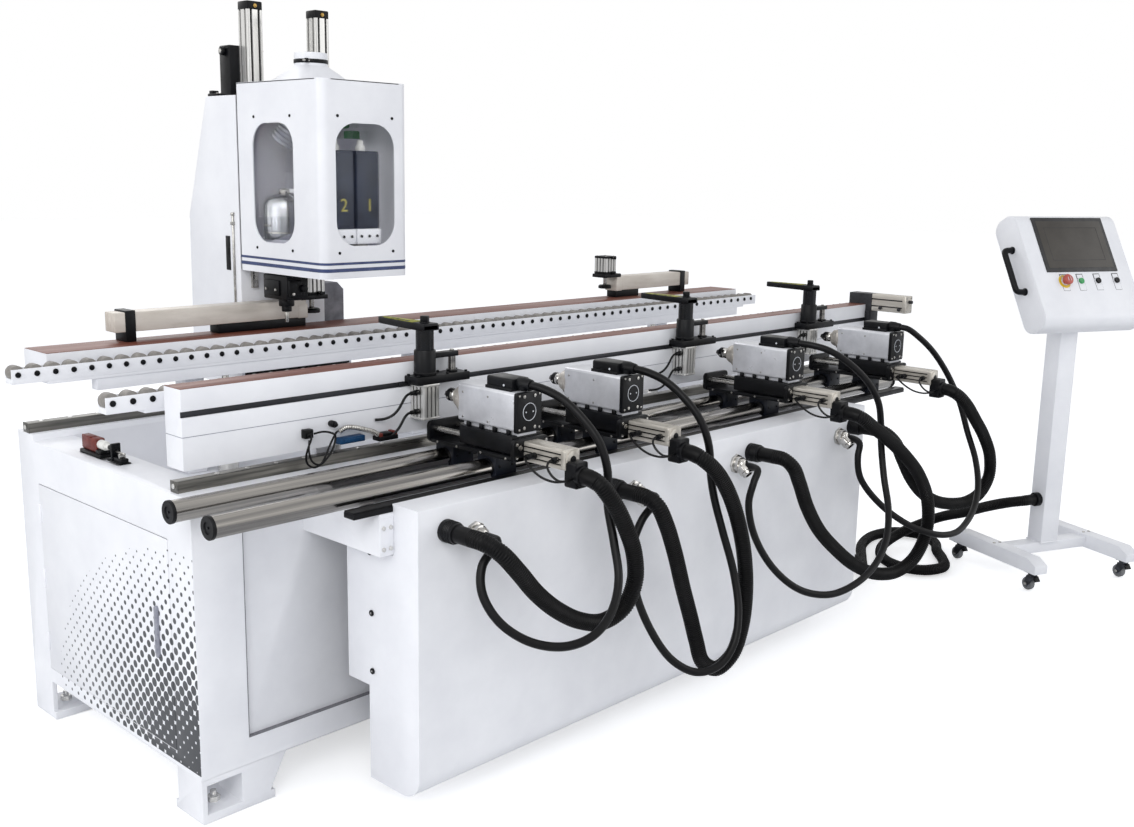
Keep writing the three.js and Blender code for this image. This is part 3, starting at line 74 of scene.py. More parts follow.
# Hoses and cables: four thick corrugated conduits, four smooth motor cables, and the console's conduit,
# all of black plastic. Each is a tube of rings along its route, from its unit to the apron.
conduit_diameter, conduit_groove, conduit_pitch, conduit_cuff, rib_rings = 42, 1.5, 6, 45, 4
cable_diameter, cable_step = 21, 7
conduit_routes = (
    ((737, -500.3, 812), (737, -525, 812), (744, -552, 800), (770, -574, 755), (803, -586, 690),
     (830, -591, 620), (836, -590, 550), (812, -578, 488), (755, -562, 462), (685, -552, 480),
     (615, -544, 522), (550, -540, 578), (495, -538, 640), (452, -526, 690), (430, -494, 712),
     (427, -452, 714), (427, -413.3, 714)),
    ((1126, -500.3, 812), (1126, -525, 812), (1138, -550, 800), (1175, -568, 765), (1222, -578, 700),
     (1260, -588, 610), (1282, -597, 510), (1290, -600, 405), (1286, -594, 310), (1264, -584, 240),
     (1218, -568, 208), (1172, -554, 236), (1150, -546, 300), (1130, -539, 370), (1100, -534, 455),
     (1062, -532, 560), (1024, -530, 645), (1000, -520, 694), (991, -492, 712), (990, -452, 714),
     (990, -413.3, 714)),
    ((1912, -500.3, 812), (1912, -525, 812), (1926, -552, 802), (1975, -568, 768), (2055, -578, 720),
     (2150, -588, 655), (2240, -597, 575), (2300, -602, 480), (2308, -602, 380), (2255, -595, 300),
     (2165, -582, 268), (2060, -565, 280), (1960, -546, 325), (1870, -530, 390), (1785, -515, 468),
     (1714, -512, 555), (1655, -518, 640), (1624, -514, 690), (1611, -490, 712), (1610, -452, 714),
     (1610, -413.3, 714)),
    ((2546, -500.3, 812), (2546, -525, 812), (2556, -550, 800), (2595, -566, 766), (2655, -576, 705),
     (2718, -586, 635), (2765, -592, 560), (2772, -592, 485), (2722, -586, 430), (2640, -578, 412),
     (2545, -567, 420), (2450, -554, 445), (2365, -544, 490), (2295, -538, 550), (2238, -534, 620),
     (2200, -522, 682), (2183, -492, 711), (2180, -452, 714), (2180, -413.3, 714)),
)
conduit_lengths = (0.986, 1.392, 1.696, 1.292)
conduit_bends = ((715, 450), (1103, 1013), (1885, 1635), (2520, 2205))
cable_routes = (
    ((737, -290.3, 1007), (737, -318, 1007), (742, -360, 1003), (755, -410, 985), (772, -460, 945),
     (790, -505, 888), (799, -525, 825), (798, -531, 735), (789, -562, 650), (765, -600, 575),
     (715, -625, 515), (650, -628, 474), (580, -605, 460), (510, -562, 478), (456, -516, 528),
     (440, -478, 590), (455, -462, 645), (488, -462, 678), (510, -452, 690), (515, -430, 690),
     (515, -406.3, 690)),
    ((1126, -290.3, 1007), (1126, -318, 1007), (1132, -360, 1003), (1147, -410, 985),
     (1166, -460, 945), (1184, -505, 888), (1196, -526, 825), (1207, -530, 735), (1217, -537, 675),
     (1228, -560, 590), (1238, -595, 480), (1225, -625, 385), (1190, -640, 308), (1138, -635, 262),
     (1075, -610, 252), (1018, -572, 290), (982, -525, 370), (968, -482, 470), (980, -458, 570),
     (1015, -458, 640), (1052, -464, 677), (1074, -454, 690), (1080, -430, 690), (1080, -406.3, 690)),
    ((1912, -290.3, 1007), (1912, -318, 1007), (1924, -358, 1004), (1955, -405, 990),
     (2000, -455, 950), (2040, -502, 892), (2067, -527, 830), (2082, -533, 760), (2088, -536, 690),
     (2075, -560, 595), (2035, -605, 505), (1970, -640, 430), (1885, -655, 372), (1790, -648, 332),
     (1690, -620, 315), (1600, -575, 340), (1530, -525, 410), (1494, -480, 505), (1490, -458, 595),
     (1507, -460, 655), (1530, -456, 686), (1540, -430, 690), (1540, -406.3, 690)),
    ((2546, -290.3, 1007), (2546, -318, 1007), (2562, -345, 1003), (2602, -372, 972),
     (2650, -405, 920), (2692, -445, 840), (2708, -490, 745), (2692, -535, 650), (2655, -590, 565),
     (2600, -632, 495), (2525, -662, 440), (2440, -678, 402), (2350, -682, 382), (2265, -658, 388),
     (2190, -598, 422), (2128, -522, 490), (2086, -472, 572), (2078, -462, 640), (2092, -458, 680),
     (2105, -430, 690), (2105, -406.3, 690)),
)
cable_lengths = (1.267, 1.622, 1.71, 1.587)
# A motor cable is two pieces that meet at this point of its route.
cable_split = 4
gland_reach, split_reach, split_drop, union_top = 10, 12, 14, 703
console_route = (
    (2500, -15.3, 240), (2500, -50, 240), (2514, -102, 220), (2562, -142, 165), (2650, -150, 90),
    (2760, -122, 36), (2900, -40, 22.5), (3060, 50, 22.5), (3220, 82, 22.5), (3340, 38, 22.5),
    (3368, -62, 22.5), (3305, -150, 22.5), (3210, -208, 22.5), (3125, -275, 22.5), (3030, -326, 22.5),
    (2935, -288, 22.5), (2912, -195, 22.5), (2960, -100, 24), (3065, -38, 32), (3180, -30, 50),
    (3275, -75, 88), (3318, -160, 135), (3288, -275, 185), (3245, -385, 240), (3235, -470, 275),
    (3262, -525, 289), (3287.5, -536.5, 290), (3307.6, -545.4, 290),
)


def smooth_line(route, step, cuts=32):
    """A smooth line through a route's points, cut into even steps"""
    points = [Vector(p) for p in route]
    points = [points[0] * 2 - points[1], *points, points[-1] * 2 - points[-2]]
    fine = [points[1]]
    for p0, p1, p2, p3 in zip(points, points[1:], points[2:], points[3:]):
        d0, d1, d2 = ((b - a).length ** 0.5 for a, b in ((p0, p1), (p1, p2), (p2, p3)))
        t1 = ((p1 - p0) / d0 - (p2 - p0) / (d0 + d1) + (p2 - p1) / d1) * d1
        t2 = ((p2 - p1) / d1 - (p3 - p1) / (d1 + d2) + (p3 - p2) / d2) * d1
        for i in range(1, cuts + 1):
            t = i / cuts
            fine.append(p1 * (2 * t**3 - 3 * t**2 + 1) + t1 * (t**3 - 2 * t**2 + t)
                        + p2 * (3 * t**2 - 2 * t**3) + t2 * (t**3 - t**2))
    lengths = [(b - a).length for a, b in zip(fine, fine[1:])]
    count = round(sum(lengths) / step)
    line, gone, k = [fine[0]], 0, 0
    for i in range(1, count):
        goal = sum(lengths) * i / count
        while gone + lengths[k] < goal:
            gone += lengths[k]
            k += 1
        line.append(fine[k].lerp(fine[k + 1], (goal - gone) / lengths[k]))
    return [*line, fine[-1]]


def tube(line, radius_at, sides=16):
    """A closed tube of rings along a line: a sheet of rings, rolled up and capped"""
    bm = bmesh.new()
    rings = len(line) - 1
    bmesh.ops.create_grid(bm, x_segments=rings, y_segments=sides, size=1)
    tangents = [(line[min(i + 1, rings)] - line[max(i - 1, 0)]).normalized() for i in range(rings + 1)]
    spoke = tangents[0].orthogonal().normalized()
    spokes = [spoke]
    for before, after in zip(tangents, tangents[1:]):
        spoke = before.rotation_difference(after) @ spoke
        spokes.append(spoke)
    for v in bm.verts:
        i = round((v.co.x + 1) / 2 * rings)
        turn = round((v.co.y + 1) / 2 * sides) / sides * 2 * math.pi
        side = tangents[i].cross(spokes[i])
        v.co = line[i] + (spokes[i] * math.cos(turn) + side * math.sin(turn)) * radius_at(i)
    bmesh.ops.remove_doubles(bm, verts=bm.verts, dist=0.01)
    bmesh.ops.holes_fill(bm, edges=[e for e in bm.edges if e.is_boundary])
    return bm


def effect(name, inputs, outputs):
    """A shader node group with named inputs and outputs, and its two end nodes"""
    group = bpy.data.node_groups.new(name, "ShaderNodeTree")
    for label, kind, value in inputs:
        socket = group.interface.new_socket(name=label, in_out="INPUT", socket_type="NodeSocket" + kind)
        socket.default_value = value
    for label, kind in outputs:
        group.interface.new_socket(name=label, in_out="OUTPUT", socket_type="NodeSocket" + kind)
    return group, group.nodes.new("NodeGroupInput"), group.nodes.new("NodeGroupOutput")


def node(tree, kind, inputs=(), **settings):
    """A node with its settings, whose inputs are values or the sockets that feed them"""
    made = tree.nodes.new("ShaderNode" + kind)
    for key, value in settings.items():
        setattr(made, key, value)
    for key, value in dict(inputs).items():
        if isinstance(value, bpy.types.NodeSocket):
            tree.links.new(value, made.inputs[key])
        else:
            made.inputs[key].default_value = value
    return made


def worked(tree, operation, *inputs, kind="VectorMath", output=0):
    """The outcome of an operation on vectors, or on numbers with the kind Math"""
    return node(tree, kind, dict(enumerate(inputs)), operation=operation).outputs[output]


def rgb(red, green, blue):
    """A screen colour as a linear one"""
    return (*((c / 255) ** 2.2 for c in (red, green, blue)), 1)


# The slow mottling of colour and gloss, and the fine roughness, that every real finish has
mottle, enter, leave = effect(
    "mottle",
    [("Grain", "Vector", (1, 1, 1)), ("Size", "Float", 30), ("Dark", "Color", rgb(10, 10, 10)),
     ("Light", "Color", rgb(30, 30, 30)), ("Glossy", "Float", 0.3), ("Dull", "Float", 0.5),
     ("Fineness", "Float", 900)],
    [("Colour", "Color"), ("Roughness", "Float"), ("Height", "Float")],
)
spot = node(mottle, "TexCoord").outputs["Object"]
stretched = worked(mottle, "MULTIPLY", spot, enter.outputs["Grain"])
cloud = node(mottle, "TexNoise", {"Vector": stretched, "Scale": enter.outputs["Size"], "Detail": 5,
                                  "Roughness": 0.6}).outputs["Fac"]
level_of = node(mottle, "MapRange", {"Value": cloud, "From Min": 0.3, "From Max": 0.7}).outputs[0]
blend = node(mottle, "Mix", {"Factor": level_of}, data_type="RGBA")
mottle.links.new(enter.outputs["Dark"], blend.inputs[6])
mottle.links.new(enter.outputs["Light"], blend.inputs[7])
gloss = node(mottle, "MapRange", {"Value": level_of, "To Min": enter.outputs["Dull"],
                                  "To Max": enter.outputs["Glossy"]}).outputs[0]
peel = node(mottle, "TexNoise", {"Vector": stretched, "Scale": enter.outputs["Fineness"],
                                 "Detail": 2}).outputs["Fac"]
mottle.links.new(blend.outputs[2], leave.inputs["Colour"])
mottle.links.new(gloss, leave.inputs["Roughness"])
mottle.links.new(peel, leave.inputs["Height"])


def finish(name, dark, light, glossy, dull, metal=0.0, grain=(1, 1, 1), size=30, fineness=900, bump=0.15,
           shine=0.5):
    """A material whose colour, gloss and relief come from the mottling, with values of its own"""
    material = bpy.data.materials.new(name)
    material.use_nodes = True
    tree = material.node_tree
    shader = tree.nodes["Principled BSDF"]
    group = tree.nodes.new("ShaderNodeGroup")
    group.node_tree = mottle
    for label, value in (("Grain", grain), ("Size", size), ("Dark", rgb(*dark)), ("Light", rgb(*light)),
                         ("Glossy", glossy), ("Dull", dull), ("Fineness", fineness)):
        group.inputs[label].default_value = value
    relief = node(tree, "Bump", {"Strength": bump, "Distance": 0.0004, "Height": group.outputs["Height"]})
    shader.inputs["Metallic"].default_value = metal
    shader.inputs["Specular IOR Level"].default_value = shine
    tree.links.new(group.outputs["Colour"], shader.inputs["Base Color"])
    tree.links.new(group.outputs["Roughness"], shader.inputs["Roughness"])
    tree.links.new(relief.outputs["Normal"], shader.inputs["Normal"])
    return material


sharp_angle = math.radians(35)


def piece(name, bm, materials, body=None, replaces=None):
    """Makes a drawn shape a piece of the scene: in metres, faces outwards, smooth between its sharp edges"""
    bmesh.ops.recalc_face_normals(bm, faces=bm.faces)
    bmesh.ops.translate(bm, verts=bm.verts, vec=corner)
    bmesh.ops.scale(bm, verts=bm.verts, vec=(0.001, 0.001, 0.001))
    mesh = bpy.data.meshes.new(name)
    bm.to_mesh(mesh)
    bm.free()
    mesh.polygons.foreach_set("use_smooth", [True] * len(mesh.polygons))
    mesh.set_sharp_from_angle(angle=sharp_angle)
    for material in materials if isinstance(materials, tuple) else [materials]:
        mesh.materials.append(material)
    made = bpy.data.objects.new(name, mesh)
    bpy.context.scene.collection.objects.link(made)
    if body:
        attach(made, body)
    if replaces:
        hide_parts(replaces)
    return made


corrugated_black = finish("corrugated_black", (6, 6, 7), (17, 17, 19), 0.36, 0.52, size=14, bump=0.1,
                          shine=0.14)
cable_black = finish("cable_black", (6, 6, 8), (16, 16, 19), 0.32, 0.46, size=22, bump=0.05, shine=0.2)


def ribbed_tube(line):
    """A corrugated conduit with a plain cuff at both ends"""
    ends = round(conduit_cuff / conduit_pitch * rib_rings)
    last = len(line) - 1
    waves = (0, 0, conduit_groove, conduit_groove)
    return tube(line, lambda i: conduit_diameter / 2 - (waves[i % rib_rings]
                                                        if ends < i < last - ends else 0))


def thin_hose(name, route, step, radius, material, body, sides=10,
              drawn=None):
    """A thin hose along a route, as long as its drawn line, with an even radius unless another is drawn"""
    line = smooth_line(route, step)
    hose = piece(name, tube(line, drawn or (lambda i: radius), sides), material, body)


for n, (route, length, (near, far)) in enumerate(zip(conduit_routes, conduit_lengths, conduit_bends), 1):
    line = smooth_line(route, conduit_pitch / rib_rings)
    hose = piece(f"corrugated_conduit_{n}", ribbed_tube(line), corrugated_black,
                 replaces=f"unit_conduit_{n}")
    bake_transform(hose)

for n, (route, length) in enumerate(zip(cable_routes, cable_lengths), 1):
    line = smooth_line(route, cable_step)
    joint = min(range(len(line)), key=lambda i: (line[i] - Vector(route[cable_split])).length)
    stretch = piece(f"motor_lead_{n}", tube(line[:joint + 1], lambda i: cable_diameter / 2), cable_black)
    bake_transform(stretch)
    rest = piece(f"motor_cable_run_{n}", tube(line[joint:], lambda i: cable_diameter / 2), cable_black,
                 replaces=f"motor_cable_{n}")
    high = route[cable_split][2] - split_drop
    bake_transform(rest)

line = smooth_line(console_route, conduit_pitch / rib_rings)
hose = piece("console_hose", ribbed_tube(line), corrugated_black, "base", "console_conduit")

# The base: a welded cabinet of white powder-coated sheet with a recessed front and an open well. Black
# linear rails are bolted along its rear ledge and under the front beam, and four levelling bolts stand in
# its legs.
powder_white = {"dark": (228, 229, 234), "light": (238, 239, 243), "glossy": 0.3, "dull": 0.42, "size": 6,
                "fineness": 1400, "bump": 0.06}
white_coat = finish("white_coat", **powder_white)
rail_black = finish("rail_black", (66, 66, 65), (134, 132, 127), 0.24, 0.4, metal=0.9, grain=(0.04, 1, 1),
                    size=70)
bright_steel = finish("bright_steel", (150, 148, 144), (196, 194, 190), 0.18, 0.34, metal=1, size=40)


def bevelled(bm, edges, ease, clamped=True):
    """Rounds some edges of a drawn shape"""
    bmesh.ops.bevel(bm, geom=edges, offset=ease, offset_type="OFFSET", affect="EDGES", segments=2,
                    profile=0.5, material=-1, clamp_overlap=clamped)


def eased(bm, ease):
    """Rounds a drawn shape's sharp edges"""
    if ease:
        bevelled(bm, [e for e in bm.edges if e.is_manifold and e.calc_face_angle(0) > math.radians(30)], ease)
    return bm


def moved(bm, place):
    """Moves a shape by a matrix"""
    bmesh.ops.transform(bm, matrix=place, verts=bm.verts)
    return bm


def placed(bm, at, degrees, axis):
    """Turns a shape about an axis through the origin, and moves it to its place"""
    return moved(bm, Matrix.Translation(at) @ Matrix.Rotation(math.radians(degrees), 4, axis))


def slab(x, y, z, ease=0.0):
    """A block between two corners"""
    bm = bmesh.new()
    bmesh.ops.create_cube(bm, size=1)
    spans = [sorted(span) for span in (x, y, z)]
    bmesh.ops.scale(bm, verts=bm.verts, vec=[high - low for low, high in spans])
    bmesh.ops.translate(bm, verts=bm.verts, vec=[(low + high) / 2 for low, high in spans])
    return eased(bm, ease)


stands = {"x": Matrix(((0, 0, 1), (1, 0, 0), (0, 1, 0))), "y": Matrix(((1, 0, 0), (0, 0, 1), (0, 1, 0))),
          "z": Matrix.Identity(3)}


def stood(bm, axis, at=(0, 0), start=0.0):
    """Turns a shape drawn along z to stand along an axis, about a place in the other two directions"""
    bmesh.ops.translate(bm, verts=bm.verts, vec=(*at, start))
    bmesh.ops.transform(bm, matrix=stands[axis].to_4x4(), verts=bm.verts)
    bmesh.ops.recalc_face_normals(bm, faces=bm.faces)
    return bm


def rod(axis, diameter, span, at, ease=0.0, sides=24):
    """A round bar along an axis, or a hexagon head with six sides"""
    bm = bmesh.new()
    low, high = sorted(span)
    bmesh.ops.create_cone(bm, cap_ends=True, segments=sides, radius1=diameter / 2, radius2=diameter / 2,
                          depth=high - low)
    if ease:
        bevelled(bm, [e for e in bm.edges if abs(e.verts[0].co.z - e.verts[1].co.z) < 0.01], ease)
    return stood(bm, axis, at, (low + high) / 2)


def bolts(axis, diameter, span, ones, others, ease=0.8, sides=12):
    """A bolt's head at every place that two rows of places make together"""
    return [rod(axis, diameter, span, (a, b), ease, sides) for a in ones for b in others]


def turned(axis, line, at, steps=32):
    """A shape turned about an axis, from a line of radii and places along it"""
    bm = bmesh.new()
    made = [bm.verts.new((radius, 0, place)) for radius, place in line]
    for a, b in zip(made, made[1:]):
        bm.edges.new((a, b))
    bmesh.ops.spin(bm, geom=bm.verts[:] + bm.edges[:], cent=(0, 0, 0), axis=(0, 0, 1), dvec=(0, 0, 0),
                   angle=2 * math.pi, steps=steps, use_merge=True)
    bmesh.ops.remove_doubles(bm, verts=bm.verts, dist=0.01)
    return stood(bm, axis, at)


def shifted(bm, made, push):
    """Moves the points that an extrusion made, and turns the faces outwards"""
    bmesh.ops.translate(bm, verts=[v for v in made["geom"] if isinstance(v, bmesh.types.BMVert)], vec=push)
    bmesh.ops.recalc_face_normals(bm, faces=bm.faces)


def pushed(axis, outline, span, ease=0.0):
    """An outline pushed along an axis"""
    bm = bmesh.new()
    low, high = sorted(span)
    face = bm.faces.new([bm.verts.new((a, b, 0)) for a, b in outline])
    shifted(bm, bmesh.ops.extrude_face_region(bm, geom=[face]), (0, 0, high - low))
    return stood(eased(bm, ease), axis, start=low)


def strip(places, push):
    """A strip of sheet without thickness: a line of places, pushed along a vector"""
    bm = bmesh.new()
    line = [bm.verts.new(place) for place in places]
    edges = [bm.edges.new(pair) for pair in zip(line, line[1:])]
    shifted(bm, bmesh.ops.extrude_edge_only(bm, edges=edges), push)
    return bm


def thickened(sheet, thickness):
    """Turns a sheet's foremost face to the front, and gives the sheet its thickness"""
    if min(sheet.faces, key=lambda f: f.calc_center_median().y).normal.y > 0:
        bmesh.ops.reverse_faces(sheet, faces=sheet.faces)
    bmesh.ops.solidify(sheet, geom=sheet.faces, thickness=thickness)
    return sheet


def rounded(middle, width, height, radius, steps=6):
    """The outline of a rectangle with round corners"""
    points = []
    for k, (sx, sy) in enumerate(((1, 1), (-1, 1), (-1, -1), (1, -1))):
        for i in range(steps + 1):
            turn = (k + i / steps) * math.pi / 2
            points.append((middle[0] + sx * (width / 2 - radius) + radius * math.cos(turn),
                           middle[1] + sy * (height / 2 - radius) + radius * math.sin(turn)))
    return points


def put(bm, material, *shapes):
    """Adds drawn shapes to a piece, all in one of its materials"""
    for shape in shapes:
        for face in shape.faces:
            face.material_index = material
        mesh = bpy.data.meshes.new("shape")
        shape.to_mesh(mesh)
        shape.free()
        bm.from_mesh(mesh)
        bpy.data.meshes.remove(mesh)
    return bm


def copied(name):
    """A merged copy of a CAD node's mesh, in the machine's millimetres"""
    bm = bmesh.new()
    bm.from_mesh(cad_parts[name].data)
    bmesh.ops.scale(bm, verts=bm.verts, vec=(1000, 1000, 1000))
    bmesh.ops.translate(bm, verts=bm.verts, vec=-corner)
    bmesh.ops.remove_doubles(bm, verts=bm.verts, dist=0.02)
    bmesh.ops.dissolve_limit(bm, angle_limit=math.radians(2), verts=bm.verts, edges=bm.edges)
    for face in bm.faces:
        face.material_index = 0
    return bm


def paint(bm, material, x, y, z, facing=None):
    """Puts the faces whose middles lie in a box in one of the piece's materials"""
    for face in bm.faces:
        middle = face.calc_center_median()
        if all(low <= c <= high for c, (low, high) in zip(middle, (x, y, z))):
            if facing is None or face.normal.dot(Vector(facing)) > 0.9:
                face.material_index = material


# Grey dots on the base's end panel: a slanted net of dots that grow towards the lower front corner,
# until they join and leave light ones between them
dots, enter, leave = effect("growing_dots", [("Pitch", "Float", 0.025),
                                             ("Corner", "Vector", metres(0, 0, 110)),
                                             ("Reach", "Float", 0.8)], [("Mask", "Float")], )
spot = node(dots, "TexCoord").outputs["Object"]
away = worked(dots, "SUBTRACT", spot, enter.outputs["Corner"])
leaned = node(dots, "VectorRotate", {"Vector": away, "Angle": math.radians(45)},
              rotation_type="X_AXIS").outputs[0]
cells = node(dots, "VectorMath", {0: leaned, "Scale": 1}, operation="SCALE")
share = worked(dots, "DIVIDE", 1, enter.outputs["Pitch"], kind="Math")
dots.links.new(share, cells.inputs["Scale"])
inside = worked(dots, "FRACTION", cells.outputs[0])
centred = worked(dots, "SUBTRACT", inside, (0.5, 0.5, 0.5))
flat = worked(dots, "MULTIPLY", centred, (0, 1, 1))
radius = worked(dots, "LENGTH", flat, output="Value")
stretched = worked(dots, "MULTIPLY", away, (0, 0.74, 1))
distance = worked(dots, "LENGTH", stretched, output="Value")
growth = node(dots, "MapRange", {"Value": distance, "From Min": 0.04, "From Max": enter.outputs["Reach"],
                                 "To Min": 0.66, "To Max": 0.1}).outputs[0]
edge = worked(dots, "SUBTRACT", growth, radius, kind="Math")
mask = node(dots, "MapRange", {"Value": edge, "From Min": -0.015, "From Max": 0.015}).outputs[0]
border = worked(dots, "LESS_THAN", distance, enter.outputs["Reach"], kind="Math")
within = worked(dots, "MULTIPLY", mask, border, kind="Math")
dots.links.new(within, leave.inputs["Mask"])

dotted_coat = finish("dotted_coat", **powder_white)
tree = dotted_coat.node_tree
net = tree.nodes.new("ShaderNodeGroup")
net.node_tree = dots
net.inputs["Pitch"].default_value = 0.0262
net.inputs["Reach"].default_value = 0.545
shader = tree.nodes["Principled BSDF"]
coat_colour = shader.inputs["Base Color"].links[0].from_socket
printed = node(tree, "Mix", {"Factor": net.outputs["Mask"]}, data_type="RGBA")
tree.links.new(coat_colour, printed.inputs[6])
printed.inputs[7].default_value = rgb(66, 68, 72)
tree.links.new(printed.outputs[2], shader.inputs["Base Color"])

fluted_alloy = finish("fluted_alloy", (196, 195, 192), (222, 221, 218), 0.22, 0.34, metal=0.6,
                      grain=(1, 1, 0.1), size=10, bump=0.02)
black_coat = finish("black_coat", (7, 8, 10), (19, 20, 24), 0.32, 0.48, size=30, bump=0.08, shine=0.2)
# A mid grey used as painted shade: in the narrow gaps of the base's recessed front, and on the column's web
painted_shade_grey = finish("painted_shade_grey", (104, 104, 110), (132, 132, 138), 0.6, 0.8, size=30)
base = copied("base_cabinet")
bmesh.ops.delete(base, geom=[f for f in base.faces if f.calc_center_median().z > 788
                             and f.calc_center_median().x < 80 and 400 < f.calc_center_median().y < 620],
                 context="FACES")
edges = [e for e in base.edges if e.is_manifold and e.calc_length() > 13
         and e.calc_face_angle(0) > math.radians(40)]
bevelled(base, edges, 1.4, clamped=False)
# On it: the rails' grey steel, the lift cylinders, the console hose's collar and the levelling bolts
for rail in ((829.5, 862.5, 804.5), (68.5, 101.5, 786.9)):
    paint(base, 1, (-2, 2752), rail[:2], (rail[2], rail[2] + 30))
for x in (520, 2450):
    for y in (204, 710):
        paint(base, 2, (x - 31, x + 31), (y - 31, y + 31), (644, 861))
paint(base, 3, (2470, 2530), (-16, 14.5), (210, 270))
for x in (60, 2690):
    for y in (56, 850):
        paint(base, 2, (x - 17, x + 17), (y - 17, y + 17), (22.5, 49))
bmesh.ops.bisect_plane(base, geom=base.verts[:] + base.edges[:] + base.faces[:], dist=0.001,
                       plane_co=(0, 0, 123), plane_no=(0, 0, 1))
paint(base, 4, (-1, 0.5), (0, 906), (123, 806), facing=(-1, 0, 0))
for x in range(40, 2740, 80):
    put(base, 2, rod("z", 14, (831, 833.6), (x, 846), 0.6, 12))
    if x > 90:
        put(base, 2, rod("z", 12, (813, 815.4), (x, 85), 0.6, 12))
for y, z, end in ((846, 820, -2.4), (85, 802, 9.5)):
    put(base, 1, slab((end, end + 3), (y - 17, y + 17), (z - 14.5, z + 12.5), 1))
    put(base, 2, rod("x", 13, (end - 3, end), (y, z), 0.8, 6))
for x0 in (305, 983.6, 1623.9, 2262.3):
    put(base, 2, *bolts("y", 11, (-289.5, -285), (x0 + 10, x0 + 30), (672, 722), 0.8, 6))
for ring in (-20, -12, -4, 4):
    put(base, 3, rod("y", 58, (ring, ring + 4.5), (2500, 240), 1.4, 32))
# Thin grey strips at the recessed front's left corner and along its bottom: painted shade where that gap lies
# in shadow
put(base, 5, slab((129, 131), (0.6, 14), (180, 739)), slab((131, 2619), (0.6, 14), (178, 179.6)))
piece("base_body", base, (white_coat, rail_black, fluted_alloy, black_coat, dotted_coat, painted_shade_grey), "base",
      "base_cabinet")

# The deck sensor: a red-brown photoelectric eye on a black foot, with its white plug, and a bent black
# bracket with a steel lever in front of it
sensor_red = finish("sensor_red", (84, 34, 30), (116, 50, 42), 0.3, 0.5, size=90, shine=0.35)
cap_white = finish("cap_white", (212, 212, 208), (230, 229, 225), 0.35, 0.5, size=60)
bm = put(bmesh.new(), 0, slab((36, 74), (500, 615), (787.2, 797), 3),
         slab((40, 70), (505, 535), (796, 806), 3))
put(bm, 1, slab((42, 68), (532, 614), (797, 833), 5), slab((40, 60), (560, 606), (830, 835), 2))
put(bm, 2, rod("y", 24, (500, 534), (55, 818), 4, 28), rod("y", 15, (484, 502), (55, 818), 3, 24))
put(bm, 0, slab((42, 70), (405, 475), (787.2, 791), 1), slab((44, 68), (452, 460), (790, 833), 1.5),
    slab((46, 66), (408, 450), (790, 801), 2), rod("y", 12, (458, 486), (55, 818), 2, 20))
put(bm, 3, slab((48, 64), (420, 428), (800, 812), 1), slab((52, 58), (405, 470), (812, 815), 1),
    rod("z", 9, (791, 794), (56, 440), 1, 12), *bolts("z", 8, (797, 800), (44, 66), (520,), 1))
piece("deck_sensor", bm, (black_coat, sensor_red, cap_white, bright_steel), "base")

# The end door: a folded white sheet printed with the same dots. It turns on two pin hinges at the rear, and
# a long grey latch with a round lock below it holds it shut.
latch_grey = finish("latch_grey", (128, 130, 142), (158, 160, 172), 0.25, 0.4, metal=0.3, size=60)
bm = put(bmesh.new(), 0, slab((-0.2, 3), (110.6, 794.4), (151.6, 672.4), 1.2))
put(bm, 1, pushed("x", rounded((172, 432.5), 14, 129, 6.9), (-7, 1), 1.5),
    slab((-9, -6), (168, 176), (380, 412), 1), rod("x", 9, (-8, -6), (172, 470), 0.8, 16))
put(bm, 2, *(rod("z", 7.6, (z - 26, z + 26), (-1.5, 791), 1.2, 16) for z in (230, 412, 594)))
piece("end_door", bm, (dotted_coat, latch_grey, white_coat), "door", "cabinet_door")

# The guide bars: two ground and chromed steel bars that run along the machine on the base's brackets. Each
# end is closed by a pressed black cap with a screw in it.
ground_chrome = finish("ground_chrome", (96, 95, 96), (176, 172, 166), 0.1, 0.24, metal=1,
                       grain=(0.03, 3, 3), size=22, bump=0.03)
bar_front, bar_rear, bar_height = -207, -46, 785
for name, y in (("front", bar_front), ("rear", bar_rear)):
    bm = put(bmesh.new(), 0, rod("x", 50, (-71, 2707), (y, bar_height), 1, 48))
    for end, way in ((-78, 1), (2714, -1)):
        put(bm, 1, turned("x", [(0, end + way * 2.5), (13, end + way * 2.5), (14, end), (25, end),
                                (26.5, end + way * 1.5), (26.5, end + way * 8), (0, end + way * 8)],
                          (y, bar_height)))
        put(bm, 1, rod("x", 7, (end + way * 0.5, end + way * 3), (y, bar_height), 0.6, 6))
    piece(f"chrome_bar_{name}", bm, (ground_chrome, black_coat), "base", f"guide_bar_{name}")

# The apron: a folded white sheet with a rounded lower edge between two stepped end plates. Black collars
# take the hoses, chromed unions the motor cables, and a black cable channel runs behind the front bar.
union_chrome = finish("union_chrome", (150, 148, 145), (226, 224, 220), 0.06, 0.2, metal=1, size=70,
                      bump=0.03)
profile = [(-280, 770), (-366, 770), (-367.4, 769.4), (-368, 768)]
profile += [(-308 - 60 * math.cos(a), 130 - 60 * math.sin(a)) for a in (k * math.pi / 32 for k in range(17))]
profile += [(-186, 70)]
apron_left, apron_right = 345, 2262
sheet = strip([(apron_left, y, z) for y, z in profile], (apron_right - apron_left, 0, 0))
bm = put(bmesh.new(), 0, thickened(sheet, -3))
plate = [*profile, (-186, 306), (-105, 306), (-105, 650), (-280, 650)]
put(bm, 0, pushed("x", plate, (apron_left, apron_left + 3), 0.8),
    pushed("x", plate, (apron_right - 3, apron_right), 0.8),
    slab((apron_left + 3, apron_right - 3), (-189, -186), (70, 84), 0.8))
put(bm, 1, slab((236, 2690), (-283, -245), (755, 768), 1.5),
    slab((236, 2690), (-281, -247), (767.5, 772), 1.2))
